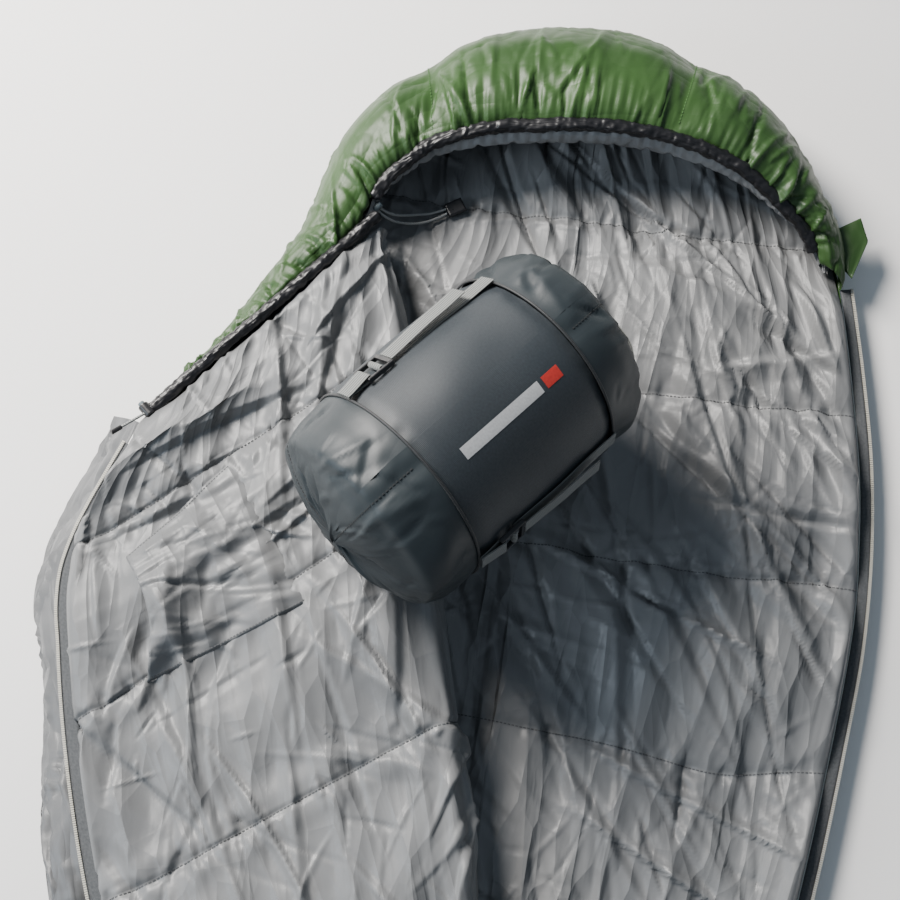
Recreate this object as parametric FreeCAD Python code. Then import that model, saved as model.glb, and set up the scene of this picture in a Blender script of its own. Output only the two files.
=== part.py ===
"""Mummy sleeping bag, laid open on its back, with its compression sack resting on it.

Millimetres, +Z up, +Y from the foot to the hood, +X to the zip side. The origin is under the middle of
the bag's bounding box, on the floor. Places on the bag are given as (across, along): across the bag from
its axis, and along it from the crown of the hood, so "along" is negative towards the foot.
"""

import FreeCAD, Part
import math
import os

V = FreeCAD.Vector

# ---------------------------------------------------------------- driving dimensions
BAG_LENGTH = 2150.0
AXIS_X = 40.0                 # the bag's own axis, from the origin
CROWN_Y = 1087.0              # the crown of the hood, from the origin
SKIN = 1.0                    # a fabric layer, thicker than the real cloth
EASE = 0.4                    # room between a filling and the cloth round it
BACK_T = 34.0                 # loft of the back panel
CAVITY = 18.0                 # height of the sleeping space under the front panel
FRONT_T = 26.0                # loft of the front panel
FOLD_GAP = 0.5                # half the gap between the two layers of the turned back panel
FOLD_Z = BACK_T + CAVITY + FRONT_T + FOLD_GAP
FLAP_TOP = FOLD_Z + FOLD_GAP + FRONT_T
RIM = 28.0                    # width of the filled side wall
BAFFLE_PITCH = 195.0
FIRST_BAFFLE = -222.0
WALL_GAP = 1.4                # slot in the filling where a baffle wall hangs
WALL_T = 0.6

# Hood: an ellipsoid roof over the top of the back panel, cut by the leaning plane of the face opening.
HOOD_CENTRE = (40.0, -262.0)
HOOD_A, HOOD_B, HOOD_C = 297.0, 262.0, 150.0
HOOD_T = 29.0
FACE_POINT = V(0, -160, 128)
FACE_NORMAL = V(-0.074, 0.566, -0.821)
HOOD_SEAMS = (-135.0, 155.0)
BINDING_R, CORE_R, DRAWCORD_R = 6.5, 2.2, 1.7
CASING_INSET = 8.0            # how far inside the hood's outer skin the casing's middle runs
NECK_MOUTH = 22.0             # the neck casing ends this far short of the corner

# Outline of the back panel below the hood, (across, along).
RIGHT_SIDE = [(351, -262), (383, -450), (391, -570), (388, -670), (364, -850), (336, -1020),
              (306, -1250), (274, -1560), (258, -1840), (250, -2000)]
FOOT = [(236, -2095), (188, -2140), (90, -2149), (0, -BAG_LENGTH), (-90, -2149), (-188, -2140), (-236, -2095)]
LEFT_SIDE = [(-250, -2000), (-258, -1840), (-274, -1560), (-306, -1250), (-336, -1020), (-364, -850),
             (-388, -670), (-386, -560), (-338, -428), (-292, -345), (-250, -262)]
HOOD_RIGHT_DEG, HOOD_LEFT_DEG = 14.0, 166.0

# The front panel is unzipped and turned back to the left about this line.
FOLD_TOP = (-178.0, -296.0)
FOLD_END = (258.0, -1880.0)
FRONT_TOP = -328.0            # top edge of the part of the front panel that still lies in place
FREE_EDGE = [(-385, -553), (-428, -700), (-412, -800), (-365, -945), (-300, -1092), (-190, -1290),
             (-40, -1520), (105, -1725), (205, -1850)]

POCKET = [(-373, -696), (-285, -580), (-182, -714), (-326, -816)]
POCKET_DEPTH = 7.0

TUBE_WIDTH = 56.0             # draft tube beside the free edge
TUBE_T = 9.0

TAPE_W, TAPE_T = 12.5, 1.2
CHAIN_W = 3.0

SACK_R = 106.0
SACK_HALF = 90.0              # half the length of the tube between the two pipings
CAP_WALL = 60.0
CAP_BULGE = 24.0
SACK_PLACE = (-47.0, -539.0, 204.0)
SACK_TILT, SACK_TURN = 10.0, 52.0
STRAP_ANGLES = {"a": 45.0, "b": -78.0, "c": 132.0}
WEB_W, WEB_T = 20.0, 1.3
BAR_R = 1.8
LOCK_X = -50.0                # ladder lock's middle bar, along the sack from its centre

FAR = 4000.0


# ---------------------------------------------------------------- helpers
def at(p, z=0.0):
    """A place on the bag, as a point in the row frame."""
    return V(p[0] + AXIS_X, p[1] + CROWN_Y, z)


def plan_normals(points):
    """The normal to the right of travel at each point of an open plan line."""
    out = []
    for i, p in enumerate(points):
        a, b = points[max(i - 1, 0)], points[min(i + 1, len(points) - 1)]
        dx, dy = b[0] - a[0], b[1] - a[1]
        size = math.hypot(dx, dy)
        out.append((dy / size, -dx / size))
    return out


def shifted(points, distance):
    """The same plan line, moved to the right of travel."""
    return [(p[0] + n[0] * distance, p[1] + n[1] * distance)
            for p, n in zip(points, plan_normals(points))]


def spline(points, z=0.0):
    curve = Part.BSplineCurve()
    curve.interpolate([at(p, z) for p in points])
    return curve.toShape()


def hood_point(degrees, inset):
    a = math.radians(degrees)
    return (HOOD_CENTRE[0] + (HOOD_A - inset) * math.cos(a), HOOD_CENTRE[1] + (HOOD_B - inset) * math.sin(a))


def outline(inset=0.0):
    """The back panel's outline as a face in the floor plane, smaller by inset all round."""
    right = hood_point(HOOD_RIGHT_DEG, inset)
    left = hood_point(HOOD_LEFT_DEG, inset)
    crown = Part.ArcOfEllipse(Part.Ellipse(at(HOOD_CENTRE), HOOD_A - inset, HOOD_B - inset),
                              math.radians(HOOD_RIGHT_DEG), math.radians(HOOD_LEFT_DEG)).toShape()
    body = shifted([right] + RIGHT_SIDE + FOOT + LEFT_SIDE + [left], inset)
    return Part.Face(Part.Wire([crown, spline([right] + body[1:-1] + [left])]))


def slab(face, low, high):
    solid = face.extrude(V(0, 0, high - low))
    solid.translate(V(0, 0, low))
    return solid


def polygon(points, low, high):
    face = Part.Face(Part.makePolygon([at(p) for p in points] + [at(points[0])]))
    return slab(face, low, high)


def box(x0, x1, y0, y1, z0, z1):
    """A box from low to high corners, in bag places."""
    return Part.makeBox(x1 - x0, y1 - y0, z1 - z0, at((x0, y0), z0))


def edge_band(near, far, low, high):
    """A flat strip along the free edge of the turned back panel, between two distances outside it."""
    a, b = shifted(FREE_EDGE, near), shifted(FREE_EDGE, far)
    edges = [spline(a), Part.makeLine(at(a[-1]), at(b[-1])), spline(b), Part.makeLine(at(b[0]), at(a[0]))]
    strip_face = Part.Face(Part.Wire(Part.__sortEdges__(edges)))
    return slab(strip_face, low, high).common(box(-FAR, FAR, -FAR, FREE_EDGE[0][1] - 24, low, high))


def hem_band(near, far, low, high):
    """A strip round the back panel, between two distances outside its outline."""
    return slab(outline(-far), low, high).cut(slab(outline(-near), low - 1, high + 1))


def sampled(points, count):
    """Even steps along the curve through some places on the bag."""
    return [(p.x - AXIS_X, p.y - CROWN_Y) for p in spline(points).discretize(count)]


def solids_of(shape):
    return [s for s in shape.Solids if s.Volume > 50.0]


def save(name, *shapes):
    """Writes one node: its closed solids as a STEP file."""
    solids = [s for shape in shapes for s in shape.Solids]
    shape = solids[0] if len(solids) == 1 else Part.makeCompound(solids)
    shape.exportStep(os.path.join("parts", name + ".step"))


def baffle_lines():
    """Where the baffle walls cross the bag, along it."""
    lines, y = [], FIRST_BAFFLE
    while y > -BAG_LENGTH + BAFFLE_PITCH / 2:
        lines.append(y)
        y -= BAFFLE_PITCH
    return lines


def chambers(shape, low, high):
    """Cuts a filling at the baffle walls into its separate chambers."""
    stops = [FAR] + baffle_lines() + [-FAR]
    out = []
    for top, bottom in zip(stops, stops[1:]):
        cell = box(-FAR, FAR, bottom + WALL_GAP / 2, top - WALL_GAP / 2, low, high)
        out += solids_of(shape.common(cell))
    return out


# ---------------------------------------------------------------- fold of the front panel
FOLD_VECTOR = at(FOLD_END) - at(FOLD_TOP)
FOLD_DIR = V(FOLD_VECTOR).normalize()
FOLD_RIGHT = V(-FOLD_DIR.y, FOLD_DIR.x, 0)     # away from the turned back side


def left_of_fold(low, high):
    """Everything to the left of the fold line, below the neck."""
    top = at(FOLD_TOP)
    end = top + FOLD_DIR * FAR
    points = [top, end, end - FOLD_RIGHT * FAR * 2, top - FOLD_RIGHT * FAR * 2]
    prism = slab(Part.Face(Part.makePolygon(points + [top])), low, high)
    return prism.common(box(-FAR, FAR, -FAR, FRONT_TOP, low, high))


def fold_ring(inner, outer):
    """The half tube in which one layer of the panel goes round the fold."""
    top = at(FOLD_TOP, FOLD_Z)
    length = FOLD_VECTOR.Length
    tube = Part.makeCylinder(outer, length, top, FOLD_DIR)
    tube = tube.cut(Part.makeCylinder(inner, length, top, FOLD_DIR))
    side = Part.makeBox(length, FAR, FAR, V(0, 0, -FAR / 2))
    side.Placement = FreeCAD.Placement(top, FreeCAD.Rotation(FOLD_DIR, FOLD_RIGHT, V(0, 0, -1), "XYZ")) \
        .multiply(side.Placement)
    return tube.common(side).common(slab(outline(), 0, FAR / 2))


def flap(inset, low, high, reach=0.0):
    """The turned back layer of the front panel, from its free edge to the fold line, or past it by reach."""
    edge = shifted(FREE_EDGE, -inset)
    neck = (at(FREE_EDGE[0]) - at(FOLD_TOP)).normalize()
    tail = (at(FREE_EDGE[-1]) - at(FOLD_END)).normalize()
    top = at(FOLD_TOP) + FOLD_DIR * (inset / math.sin(neck.getAngle(FOLD_DIR))) - neck * reach
    end = at(FOLD_END) - FOLD_DIR * (inset / math.sin(tail.getAngle(FOLD_DIR))) - tail * reach
    corners = [at(edge[-1]), end, top, at(edge[0])]
    sides = [Part.makeLine(a, b) for a, b in zip(corners, corners[1:])]
    return slab(Part.Face(Part.Wire([spline(edge)] + sides)), low, high)


# ---------------------------------------------------------------- back panel
def back_panel():
    inner = outline(SKIN)
    tray = slab(outline(), 0, BACK_T).cut(slab(inner, SKIN, BACK_T))
    filling = slab(outline(SKIN + EASE), SKIN, BACK_T - SKIN)
    walls = []
    for y in baffle_lines():
        cell = box(-FAR, FAR, y - WALL_T / 2, y + WALL_T / 2, SKIN, BACK_T - SKIN)
        walls += solids_of(filling.common(cell))
    save("back_shell", tray)
    save("back_lining", slab(outline(SKIN + EASE), BACK_T - SKIN, BACK_T))
    save("back_down", *chambers(filling, 0, BACK_T))
    save("back_baffle_walls", *walls)


# ---------------------------------------------------------------- front panel
def front_panel():
    low = BACK_T + CAVITY
    upper = FOLD_Z + FOLD_GAP
    side = left_of_fold(0, FAR / 2)

    lining = slab(outline(SKIN), low, low + SKIN).common(side)
    lining = lining.fuse(fold_ring(FOLD_GAP + FRONT_T - SKIN, FOLD_GAP + FRONT_T))
    hem = flap(0, upper + SKIN, FLAP_TOP).cut(flap(SKIN, upper, FLAP_TOP - SKIN, reach=5.0))
    save("front_lining", lining.fuse(hem).removeSplitter())

    shell = slab(outline(SKIN), FOLD_Z - FOLD_GAP - SKIN, FOLD_Z - FOLD_GAP).common(side)
    shell = shell.fuse(fold_ring(FOLD_GAP, FOLD_GAP + SKIN))
    save("front_shell", shell.fuse(flap(0, upper, upper + SKIN)).removeSplitter())

    filling = slab(outline(SKIN + EASE), low + SKIN, FOLD_Z - FOLD_GAP - SKIN).common(side)
    filling = filling.fuse(fold_ring(FOLD_GAP + SKIN, FOLD_GAP + FRONT_T - SKIN))
    filling = filling.fuse(flap(SKIN + EASE, upper + SKIN, FLAP_TOP - SKIN))
    save("front_down", *chambers(filling.removeSplitter(), 0, FAR / 2))

    skirt = slab(outline(), BACK_T + EASE, FOLD_Z - FOLD_GAP)
    skirt = skirt.cut(slab(outline(SKIN), 0, FAR / 2)).common(side)
    save("side_shell", skirt)
    wall = slab(outline(SKIN + EASE), BACK_T + EASE, low - EASE)
    wall = wall.cut(slab(outline(RIM), 0, FAR / 2)).common(side)
    halves = [wall.common(box(-FAR, 0, -FAR, FAR, 0, FAR / 2)), wall.common(box(0, FAR, -FAR, FAR, 0, FAR / 2))]
    save("side_wall_down", *[c for half in halves for c in chambers(half, 0, FAR / 2)])


def pocket():
    """A flat pouch on the lining of the turned back panel, open towards the free edge."""
    base = FLAP_TOP + EASE
    top = base + POCKET_DEPTH + SKIN
    middle = [sum(p[k] for p in POCKET) / 4 for k in (0, 1)]
    inner = [tuple(m + (c - m) * 0.97 for c, m in zip(p, middle)) for p in POCKET]
    mouth = [tuple(m + (c - m) * 1.3 for c, m in zip(p, middle)) for p in (POCKET[0], POCKET[3])]
    cut = polygon([mouth[0], inner[0], inner[1], inner[2], inner[3], mouth[1]], 0, top - SKIN)
    save("pocket_panel", polygon(POCKET, base, top).cut(cut))


# ---------------------------------------------------------------- hood
def hood_dome(inset):
    """The hood's ellipsoid, smaller by inset."""
    ball = Part.makeSphere(1.0)
    matrix = FreeCAD.Matrix()
    matrix.scale(HOOD_A - inset, HOOD_B - inset, HOOD_C - inset)
    ball = ball.transformGeometry(matrix)
    ball.translate(at(HOOD_CENTRE))
    return ball


def behind_face(offset=0.0):
    """The half space behind the face opening."""
    size = 3000.0
    block = Part.makeBox(size, size, size, V(-size / 2, -size / 2, 0))
    point = at(FACE_POINT, FACE_POINT.z) + FACE_NORMAL * offset
    block.Placement = FreeCAD.Placement(point, FreeCAD.Rotation(V(0, 0, 1), FACE_NORMAL)).multiply(block.Placement)
    return block


def hood():
    floor = BACK_T + EASE
    keep = behind_face().common(box(-FAR, FAR, -FAR, FAR, floor, FAR / 2))
    layers = {"hood_shell": (0.0, SKIN), "hood_down": (SKIN + EASE, HOOD_T - EASE),
              "hood_lining": (HOOD_T, HOOD_T + SKIN)}
    for name, (outer, inner) in layers.items():
        roof = hood_dome(outer).cut(hood_dome(inner)).common(keep)
        parts = [roof]
        if name == "hood_down":
            stops = [-FAR, *HOOD_SEAMS, FAR]
            cells = [box(a + WALL_GAP / 2, b - WALL_GAP / 2, -FAR, FAR, 0, FAR / 2)
                     for a, b in zip(stops, stops[1:])]
            parts = [s for cell in cells for s in solids_of(roof.common(cell))]
        save(name, *parts)


def face_curve():
    """The middle of the casing: along the roof's edge, just in front of the face opening, from left to right."""
    plane = Part.makePlane(3000, 3000)
    plane.translate(V(-1500, -1500, 0))
    point = at(FACE_POINT, FACE_POINT.z) - FACE_NORMAL * (BINDING_R + EASE)
    plane.Placement = FreeCAD.Placement(point, FreeCAD.Rotation(V(0, 0, 1), FACE_NORMAL)).multiply(plane.Placement)
    path = hood_dome(CASING_INSET).Faces[0].section(plane)
    path = path.common(box(-FAR, FAR, -FAR, FAR, BACK_T + BINDING_R + 4.0, FAR / 2))
    points = Part.Wire(Part.__sortEdges__(path.Edges)).discretize(24)
    if points[0].x > points[-1].x:
        points.reverse()
    curve = Part.BSplineCurve()
    curve.interpolate(points)
    return curve


def bindings():
    """The elastic casing round the face opening and along the neck edge, with its drawcord inside."""
    curve = face_curve()
    spine = Part.Wire([curve.toShape()])
    start = curve.value(curve.FirstParameter)
    along = curve.tangent(curve.FirstParameter)[0]

    def ring(radius):
        return Part.Wire([Part.makeCircle(radius, start, along)])

    casing = spine.makePipeShell([ring(BINDING_R)], True, False)
    casing = casing.cut(spine.makePipeShell([ring(CORE_R)], True, False))
    save("hood_binding", casing)
    save("hood_drawcord", spine.makePipeShell([ring(DRAWCORD_R)], True, False))

    begin, end = at(FOLD_TOP, 0), at(FREE_EDGE[0], 0)
    run = (end - begin).Length - NECK_MOUTH
    along = (end - begin).normalize()
    out = V(along.y, -along.x, 0)
    start = begin + out * (BINDING_R + EASE) + V(0, 0, FLAP_TOP - FRONT_T / 2)
    casing = Part.makeCylinder(BINDING_R, run, start, along)
    save("neck_binding", casing.cut(Part.makeCylinder(CORE_R, run, start, along)))
    save("neck_drawcord", Part.makeCylinder(DRAWCORD_R, run, start, along))
    return start + along * run, along, out


# ---------------------------------------------------------------- draft tube
DROP = [(-553, 36.0), (-650, 8.0), (-830, 8.0), (-945, 54.0), (-1092, FOLD_Z + 1.0), (-1725, FOLD_Z + 1.0)]


def outer_height(along):
    """How high the draft tube's outer edge lies, at a distance along the bag."""
    for (y0, z0), (y1, z1) in zip(DROP, DROP[1:]):
        if along >= y1:
            return z0 + (z1 - z0) * max(y0 - along, 0.0) / (y0 - y1)
    return DROP[-1][1]


def draft_tube():
    """The filled flap behind the zip: it hangs off the free edge to the floor, then lies on the front panel."""
    edge = sampled(FREE_EDGE[:8], 26)
    high = FOLD_Z + 2.5 + TUBE_T
    drop = [outer_height(p[1]) for p in edge]

    def tube(skin):
        near, far = shifted(edge, 2.0 + skin), shifted(edge, TUBE_WIDTH - skin)
        steps = [skin] + [0.0] * (len(edge) - 2) + [-skin]
        sections = []
        for n, f, way, slide, low in zip(near, far, plan_normals(edge), steps, drop):
            move = (-way[1] * slide, way[0] * slide)
            corners = [(n, high - TUBE_T + skin), (f, low + skin), (f, low + TUBE_T - skin), (n, high - skin)]
            points = [at((p[0] + move[0], p[1] + move[1]), z) for p, z in corners]
            sections.append(Part.makePolygon(points + [points[0]]))
        return Part.makeLoft(sections, True, True)

    save("draft_tube_cover", tube(0.0).cut(tube(SKIN)))
    save("draft_tube_down", tube(SKIN + EASE))


# ---------------------------------------------------------------- zip
ZIP_TOP, ZIP_OPEN_END, ZIP_END = -266.0, -1838.0, -2004.0
SLIDER_Y = -1862.0
CLOSED_X, CLOSED_Z = 263.6, 41.0


def zip_parts():
    window = box(0, FAR, ZIP_OPEN_END, ZIP_TOP, 0, FAR / 2)
    tape_z = 24.0
    chain = TAPE_W + 0.3
    save("zip_tape_back", hem_band(0.6, TAPE_W, tape_z, tape_z + TAPE_T).common(window))
    save("zip_chain_back", hem_band(chain, chain + CHAIN_W, tape_z - 0.9, tape_z + 2.1).common(window))

    edge_z, chain = FLAP_TOP - 12.0, TAPE_W - 1.7
    save("zip_tape_front", edge_band(0.6, TAPE_W - 2, edge_z, edge_z + TAPE_T))
    save("zip_chain_front", edge_band(chain, chain + CHAIN_W, edge_z - 0.9, edge_z + 2.1))

    tapes = hem_band(0.3, 1.5, 22, 60).common(box(0, FAR, ZIP_END, SLIDER_Y + 20, 22, 60))
    chain = box(CLOSED_X - 1.6, CLOSED_X + 1.6, ZIP_END + 8, SLIDER_Y + 14, CLOSED_Z - 2.6, CLOSED_Z + 2.6)
    web = box(CLOSED_X - 30, CLOSED_X - 1.6, ZIP_END + 8, SLIDER_Y + 14, CLOSED_Z - 0.8, CLOSED_Z + 0.8)
    web = web.cut(slab(outline(-1.0), 0, 100))
    save("zip_chain_closed", tapes.fuse([chain, web]).removeSplitter())
    save("zip_bottom_stop", box(CLOSED_X - 2.6, CLOSED_X + 2.6, ZIP_END + 1, ZIP_END + 7.6,
                                CLOSED_Z - 4, CLOSED_Z + 4))
    slider_and_pull()


def slider_and_pull():
    half, pivot = 9.0, CLOSED_X + 6.4
    body = box(CLOSED_X - 2.6, CLOSED_X + 3.8, SLIDER_Y - half, SLIDER_Y + half, CLOSED_Z - 5.6, CLOSED_Z + 5.6)
    body = body.makeFillet(1.0, [e for e in body.Edges if abs(e.tangentAt(e.FirstParameter).x) > 0.9])
    tunnel = box(CLOSED_X - 2.1, CLOSED_X + 2.1, SLIDER_Y - 20, SLIDER_Y + 20, CLOSED_Z - 3.1, CLOSED_Z + 3.1)
    throat = box(CLOSED_X - 9, CLOSED_X, SLIDER_Y - 20, SLIDER_Y + 20, CLOSED_Z - 1.3, CLOSED_Z + 1.3)
    ears = box(CLOSED_X + 3.8, pivot + 2.6, SLIDER_Y - 2.4, SLIDER_Y + 2.4, CLOSED_Z - 3.4, CLOSED_Z + 3.4)
    gap = box(CLOSED_X + 3.8, pivot + 9, SLIDER_Y - 4, SLIDER_Y + 4, CLOSED_Z - 1.7, CLOSED_Z + 1.7)
    eye = Part.makeCylinder(1.4, 8, at((pivot, SLIDER_Y), CLOSED_Z - 4), V(0, 0, 1))
    save("zip_slider", body.cut([tunnel, throat]).fuse(ears.cut([gap, eye])).removeSplitter())

    pin = Part.makeCylinder(1.0, 6.4, at((pivot, SLIDER_Y), CLOSED_Z - 3.2), V(0, 0, 1))
    shank = box(pivot - 0.6, pivot + 0.6, SLIDER_Y - 12, SLIDER_Y, CLOSED_Z - 1.3, CLOSED_Z + 1.3)
    paddle = box(pivot - 0.6, pivot + 0.6, SLIDER_Y - 34, SLIDER_Y - 11, CLOSED_Z - 4, CLOSED_Z + 4)
    paddle = paddle.makeFillet(2.0, [e for e in paddle.Edges if abs(e.tangentAt(e.FirstParameter).x) > 0.9])
    hole = Part.makeCylinder(1.8, 20, at((CLOSED_X, SLIDER_Y - 28), CLOSED_Z), V(1, 0, 0))
    save("zip_pull", pin.fuse([shank, paddle]).cut(hole).removeSplitter())


TAB_BASE = [(333, -208), (352, -254)]


def zip_tab():
    """The hook-and-loop tab that folds over the top of the zip, with its patch underneath."""
    a, b = TAB_BASE
    shape = [a, (364, -190), (372, -206), (372, -228), (358, -259), b]
    save("zip_tab", polygon(shape, 42.0, 43.4))
    patch = [(a[0] + 8, a[1] - 1), (360, -198), (367, -210), (367, -227), (357, -246), (b[0] + 2, b[1] + 6)]
    save("zip_tab_hook", polygon(patch, 40.6, 41.9))


# ---------------------------------------------------------------- cords and cord locks
CORD_D = 3.0
HOOD_LOCK = (-183.0, -267.0, 80.0)
HOOD_LOCK_AXIS = V(0.64, 0.66, 0.40).normalize()
HOOD_LOCK_R, HOOD_BUTTON_R = 3.6, 2.2
HOOD_CORD_UPPER = [(-178.9, -266.8, 78.3), (-168, -268, 67), (-152, -260, 53), (-137, -252, 43.5),
                   (-121, -246, 38.6), (-106, -237, 38)]
HOOD_CORD_LOWER = [(-181.5, -269.4, 76.7), (-171, -273.5, 66), (-156, -270, 53), (-139, -264, 43),
                   (-122, -255, 38.5), (-107, -244, 38)]
NECK_CORD_LENGTH, NECK_CORD_RISE = 50.0, 26.0
NECK_LOCK_FROM_MOUTH = 12.0
NECK_LOCK_R, NECK_BUTTON_R = 6.0, 3.6


def cord_tube(points, diameter, name):
    """A tube along straight runs joined by tangent arcs, each arc as large as its two runs allow."""
    pts = [p if isinstance(p, FreeCAD.Vector) else at(p, p[2]) for p in points]
    edges, here, total, radii = [], pts[0], 0.0, []
    for a, b, c in zip(pts, pts[1:], pts[2:]):
        u, w = (b - a), (c - b)
        turn = u.getAngle(w)
        reach = 0.45 * min(u.Length, w.Length)
        radii.append(reach / math.tan(turn / 2))
        u.normalize()
        w.normalize()
        start, end = b - u * reach, b + w * reach
        inward = V(w - u).normalize()
        middle = b + inward * (radii[-1] / math.cos(turn / 2) - radii[-1])
        edges += [Part.makeLine(here, start), Part.Arc(start, middle, end).toShape()]
        here = end
    edges.append(Part.makeLine(here, pts[-1]))
    spine = Part.Wire(edges)
    circle = Part.Wire([Part.makeCircle(diameter / 2, pts[0], pts[1] - pts[0])])
    tube = spine.makePipeShell([circle], True, False)
    section = math.pi * diameter ** 2 / 4
    print(name, "length", round(spine.Length, 1), "radii", [round(r, 1) for r in radii],
          "volume ratio", round(tube.Volume / section / spine.Length, 4))
    save(name, tube)
    return pts


def rounded_rod(start, axis, length, radius, rounding):
    rod = Part.makeCylinder(radius, length, start, axis)
    return rod.makeFillet(rounding, [e for e in rod.Edges if e.Length > 6 * radius])


def hood_lock():
    """The cord lock sewn in beside the face opening, with its sprung button in the lower end."""
    centre, axis = at(HOOD_LOCK, HOOD_LOCK[2]), HOOD_LOCK_AXIS
    barrel = rounded_rod(centre - axis * 6.0, axis, 13.0, HOOD_LOCK_R, 0.9)
    well = Part.makeCylinder(HOOD_BUTTON_R + 0.3, 8.0, centre - axis * 6.0, axis)
    save("hood_cord_lock", barrel.cut(well))
    save("hood_lock_spring", Part.makeCylinder(HOOD_BUTTON_R - 0.4, 3.2, centre - axis * 1.4, axis))
    save("hood_lock_button", rounded_rod(centre - axis * 10.4, axis, 8.8, HOOD_BUTTON_R, 0.6))


def cord_ends():
    """The two strands of the hood drawcord and the moulded tab that joins them."""
    cord_tube(HOOD_CORD_UPPER, CORD_D, "hood_cord_upper")
    cord_tube(HOOD_CORD_LOWER, CORD_D, "hood_cord_lower")
    tip = Part.makeBox(22, 17, 6.4, V(-1.5, -8.5, -3.2))
    tip = tip.makeFillet(2.4, [e for e in tip.Edges if abs(e.tangentAt(e.FirstParameter).z) < 0.1])
    middle = [(a + b) / 2 for a, b in zip(HOOD_CORD_UPPER[-1], HOOD_CORD_LOWER[-1])]
    tip.Placement = FreeCAD.Placement(at(middle, middle[2]), FreeCAD.Rotation(V(0, 0, 1), 33.0))
    for route in (HOOD_CORD_UPPER, HOOD_CORD_LOWER):
        a, b = at(route[-2], route[-2][2]), at(route[-1], route[-1][2])
        way = (b - a).normalize()
        tip = tip.cut(Part.makeCylinder(CORD_D / 2, 30, b - way * 30, way))
    save("hood_cord_end", max(tip.Solids, key=lambda solid: solid.Volume))


def neck_lock(mouth, along, out):
    """The free end of the neck drawcord, with the cord lock that slides on it and its moulded tip."""
    way = (along * NECK_CORD_LENGTH + V(0, 0, NECK_CORD_RISE)).normalize()
    start = mouth + along * 0.3
    save("neck_cord", Part.makeCylinder(CORD_D / 2, NECK_CORD_LENGTH, start, way))
    tip_start = start + way * (NECK_CORD_LENGTH - 3.0)
    tip = rounded_rod(tip_start, way, 13.0, 2.6, 0.9)
    save("neck_cord_end", tip.cut(Part.makeCylinder(CORD_D / 2, 3.0, tip_start, way)))

    centre = start + way * NECK_LOCK_FROM_MOUTH
    barrel = rounded_rod(centre - out * 5.5, out, 15.0, NECK_LOCK_R, 1.6)
    bore = Part.makeCylinder(CORD_D / 2 + 0.5, 30, centre - way * 15, way)
    well = Part.makeCylinder(NECK_BUTTON_R + 0.3, 8.0, centre + out * 2.6, out)
    save("neck_lock", barrel.cut([bore, well]))
    save("neck_lock_spring", Part.makeCylinder(NECK_BUTTON_R - 1.0, 2.8, centre + out * 2.8, out))
    save("neck_lock_button", rounded_rod(centre + out * 5.8, out, 7.2, NECK_BUTTON_R, 1.0))


def hang_loops():
    """Two webbing loops sewn into the foot seam, for hanging the bag up."""
    loops = []
    for x in (-120.0, 120.0):
        y, z = -BAG_LENGTH + 1.5, 30.0
        outer = box(x - 8, x + 8, y - 17, y, z, z + 8).fuse(
            Part.makeCylinder(8, 8, at((x, y - 17), z), V(0, 0, 1)))
        inner = box(x - 6.7, x + 6.7, y - 17, y + 9, z - 1, z + 9).fuse(
            Part.makeCylinder(6.7, 10, at((x, y - 17), z - 1), V(0, 0, 1)))
        foot = slab(outline(-0.3), 0, 60)
        loops.append(outer.cut(inner).cut(foot))
    save("foot_hang_loops", *loops)


# ---------------------------------------------------------------- compression sack
def sack_placement():
    turn = FreeCAD.Rotation(V(0, 0, 1), SACK_TURN).multiply(FreeCAD.Rotation(V(0, 1, 0), SACK_TILT))
    return FreeCAD.Placement(at(SACK_PLACE, SACK_PLACE[2]), turn)


def placed(shape, angle=0.0):
    """A shape made at the top of a level sack, turned round the sack's axis and put in its place."""
    shape = shape.copy()
    shape.rotate(V(0, 0, 0), V(1, 0, 0), -angle)
    shape.Placement = sack_placement().multiply(shape.Placement)
    return shape


def revolved(edges):
    """A solid of revolution about the sack's axis from a closed profile of lines and arcs in the XZ plane."""
    solid = Part.Face(Part.Wire(edges)).revolve(V(0, 0, 0), V(1, 0, 0), 360)
    if solid.Volume < 0:
        solid.reverse()
    return solid


def crowned_end(x, radius, bulge, sign):
    """The profile of a crowned end, as an arc from its rim to the sack's axis."""
    sphere = (radius ** 2 + bulge ** 2) / (2 * bulge)
    half = math.asin(radius / sphere) / 2
    middle = V(sign * (x + bulge - sphere * (1 - math.cos(half))), 0, sphere * math.sin(half))
    return Part.Arc(V(sign * x, 0, radius), middle, V(sign * (x + bulge), 0, 0)).toShape()


def cap(sign):
    """One end of the sack: a short side wall and a crowned end."""
    start, wall, inner_r = SACK_HALF + 0.3, SACK_HALF + CAP_WALL, SACK_R - SKIN

    def p(x, r):
        return V(sign * x, 0, r)

    return revolved([Part.makeLine(p(start, inner_r), p(start, SACK_R)),
                     Part.makeLine(p(start, SACK_R), p(wall, SACK_R)),
                     crowned_end(wall, SACK_R, CAP_BULGE, sign),
                     Part.makeLine(p(wall + CAP_BULGE, 0), p(wall + CAP_BULGE - SKIN, 0)),
                     crowned_end(wall - SKIN, inner_r, CAP_BULGE, sign),
                     Part.makeLine(p(wall - SKIN, inner_r), p(start, inner_r))])


def strip(points, width):
    """Webbing: a band of even thickness along a line in the XZ plane, centred on Y."""
    upper = []
    for i, p in enumerate(points):
        a, b = points[max(i - 1, 0)], points[min(i + 1, len(points) - 1)]
        dx, dz = b[0] - a[0], b[1] - a[1]
        size = math.hypot(dx, dz)
        upper.append((p[0] - dz / size * WEB_T, p[1] + dx / size * WEB_T))
    ring = [V(x, -width / 2, z) for x, z in points + upper[::-1]]
    return Part.Face(Part.makePolygon(ring + [ring[0]])).extrude(V(0, width, 0))


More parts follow.
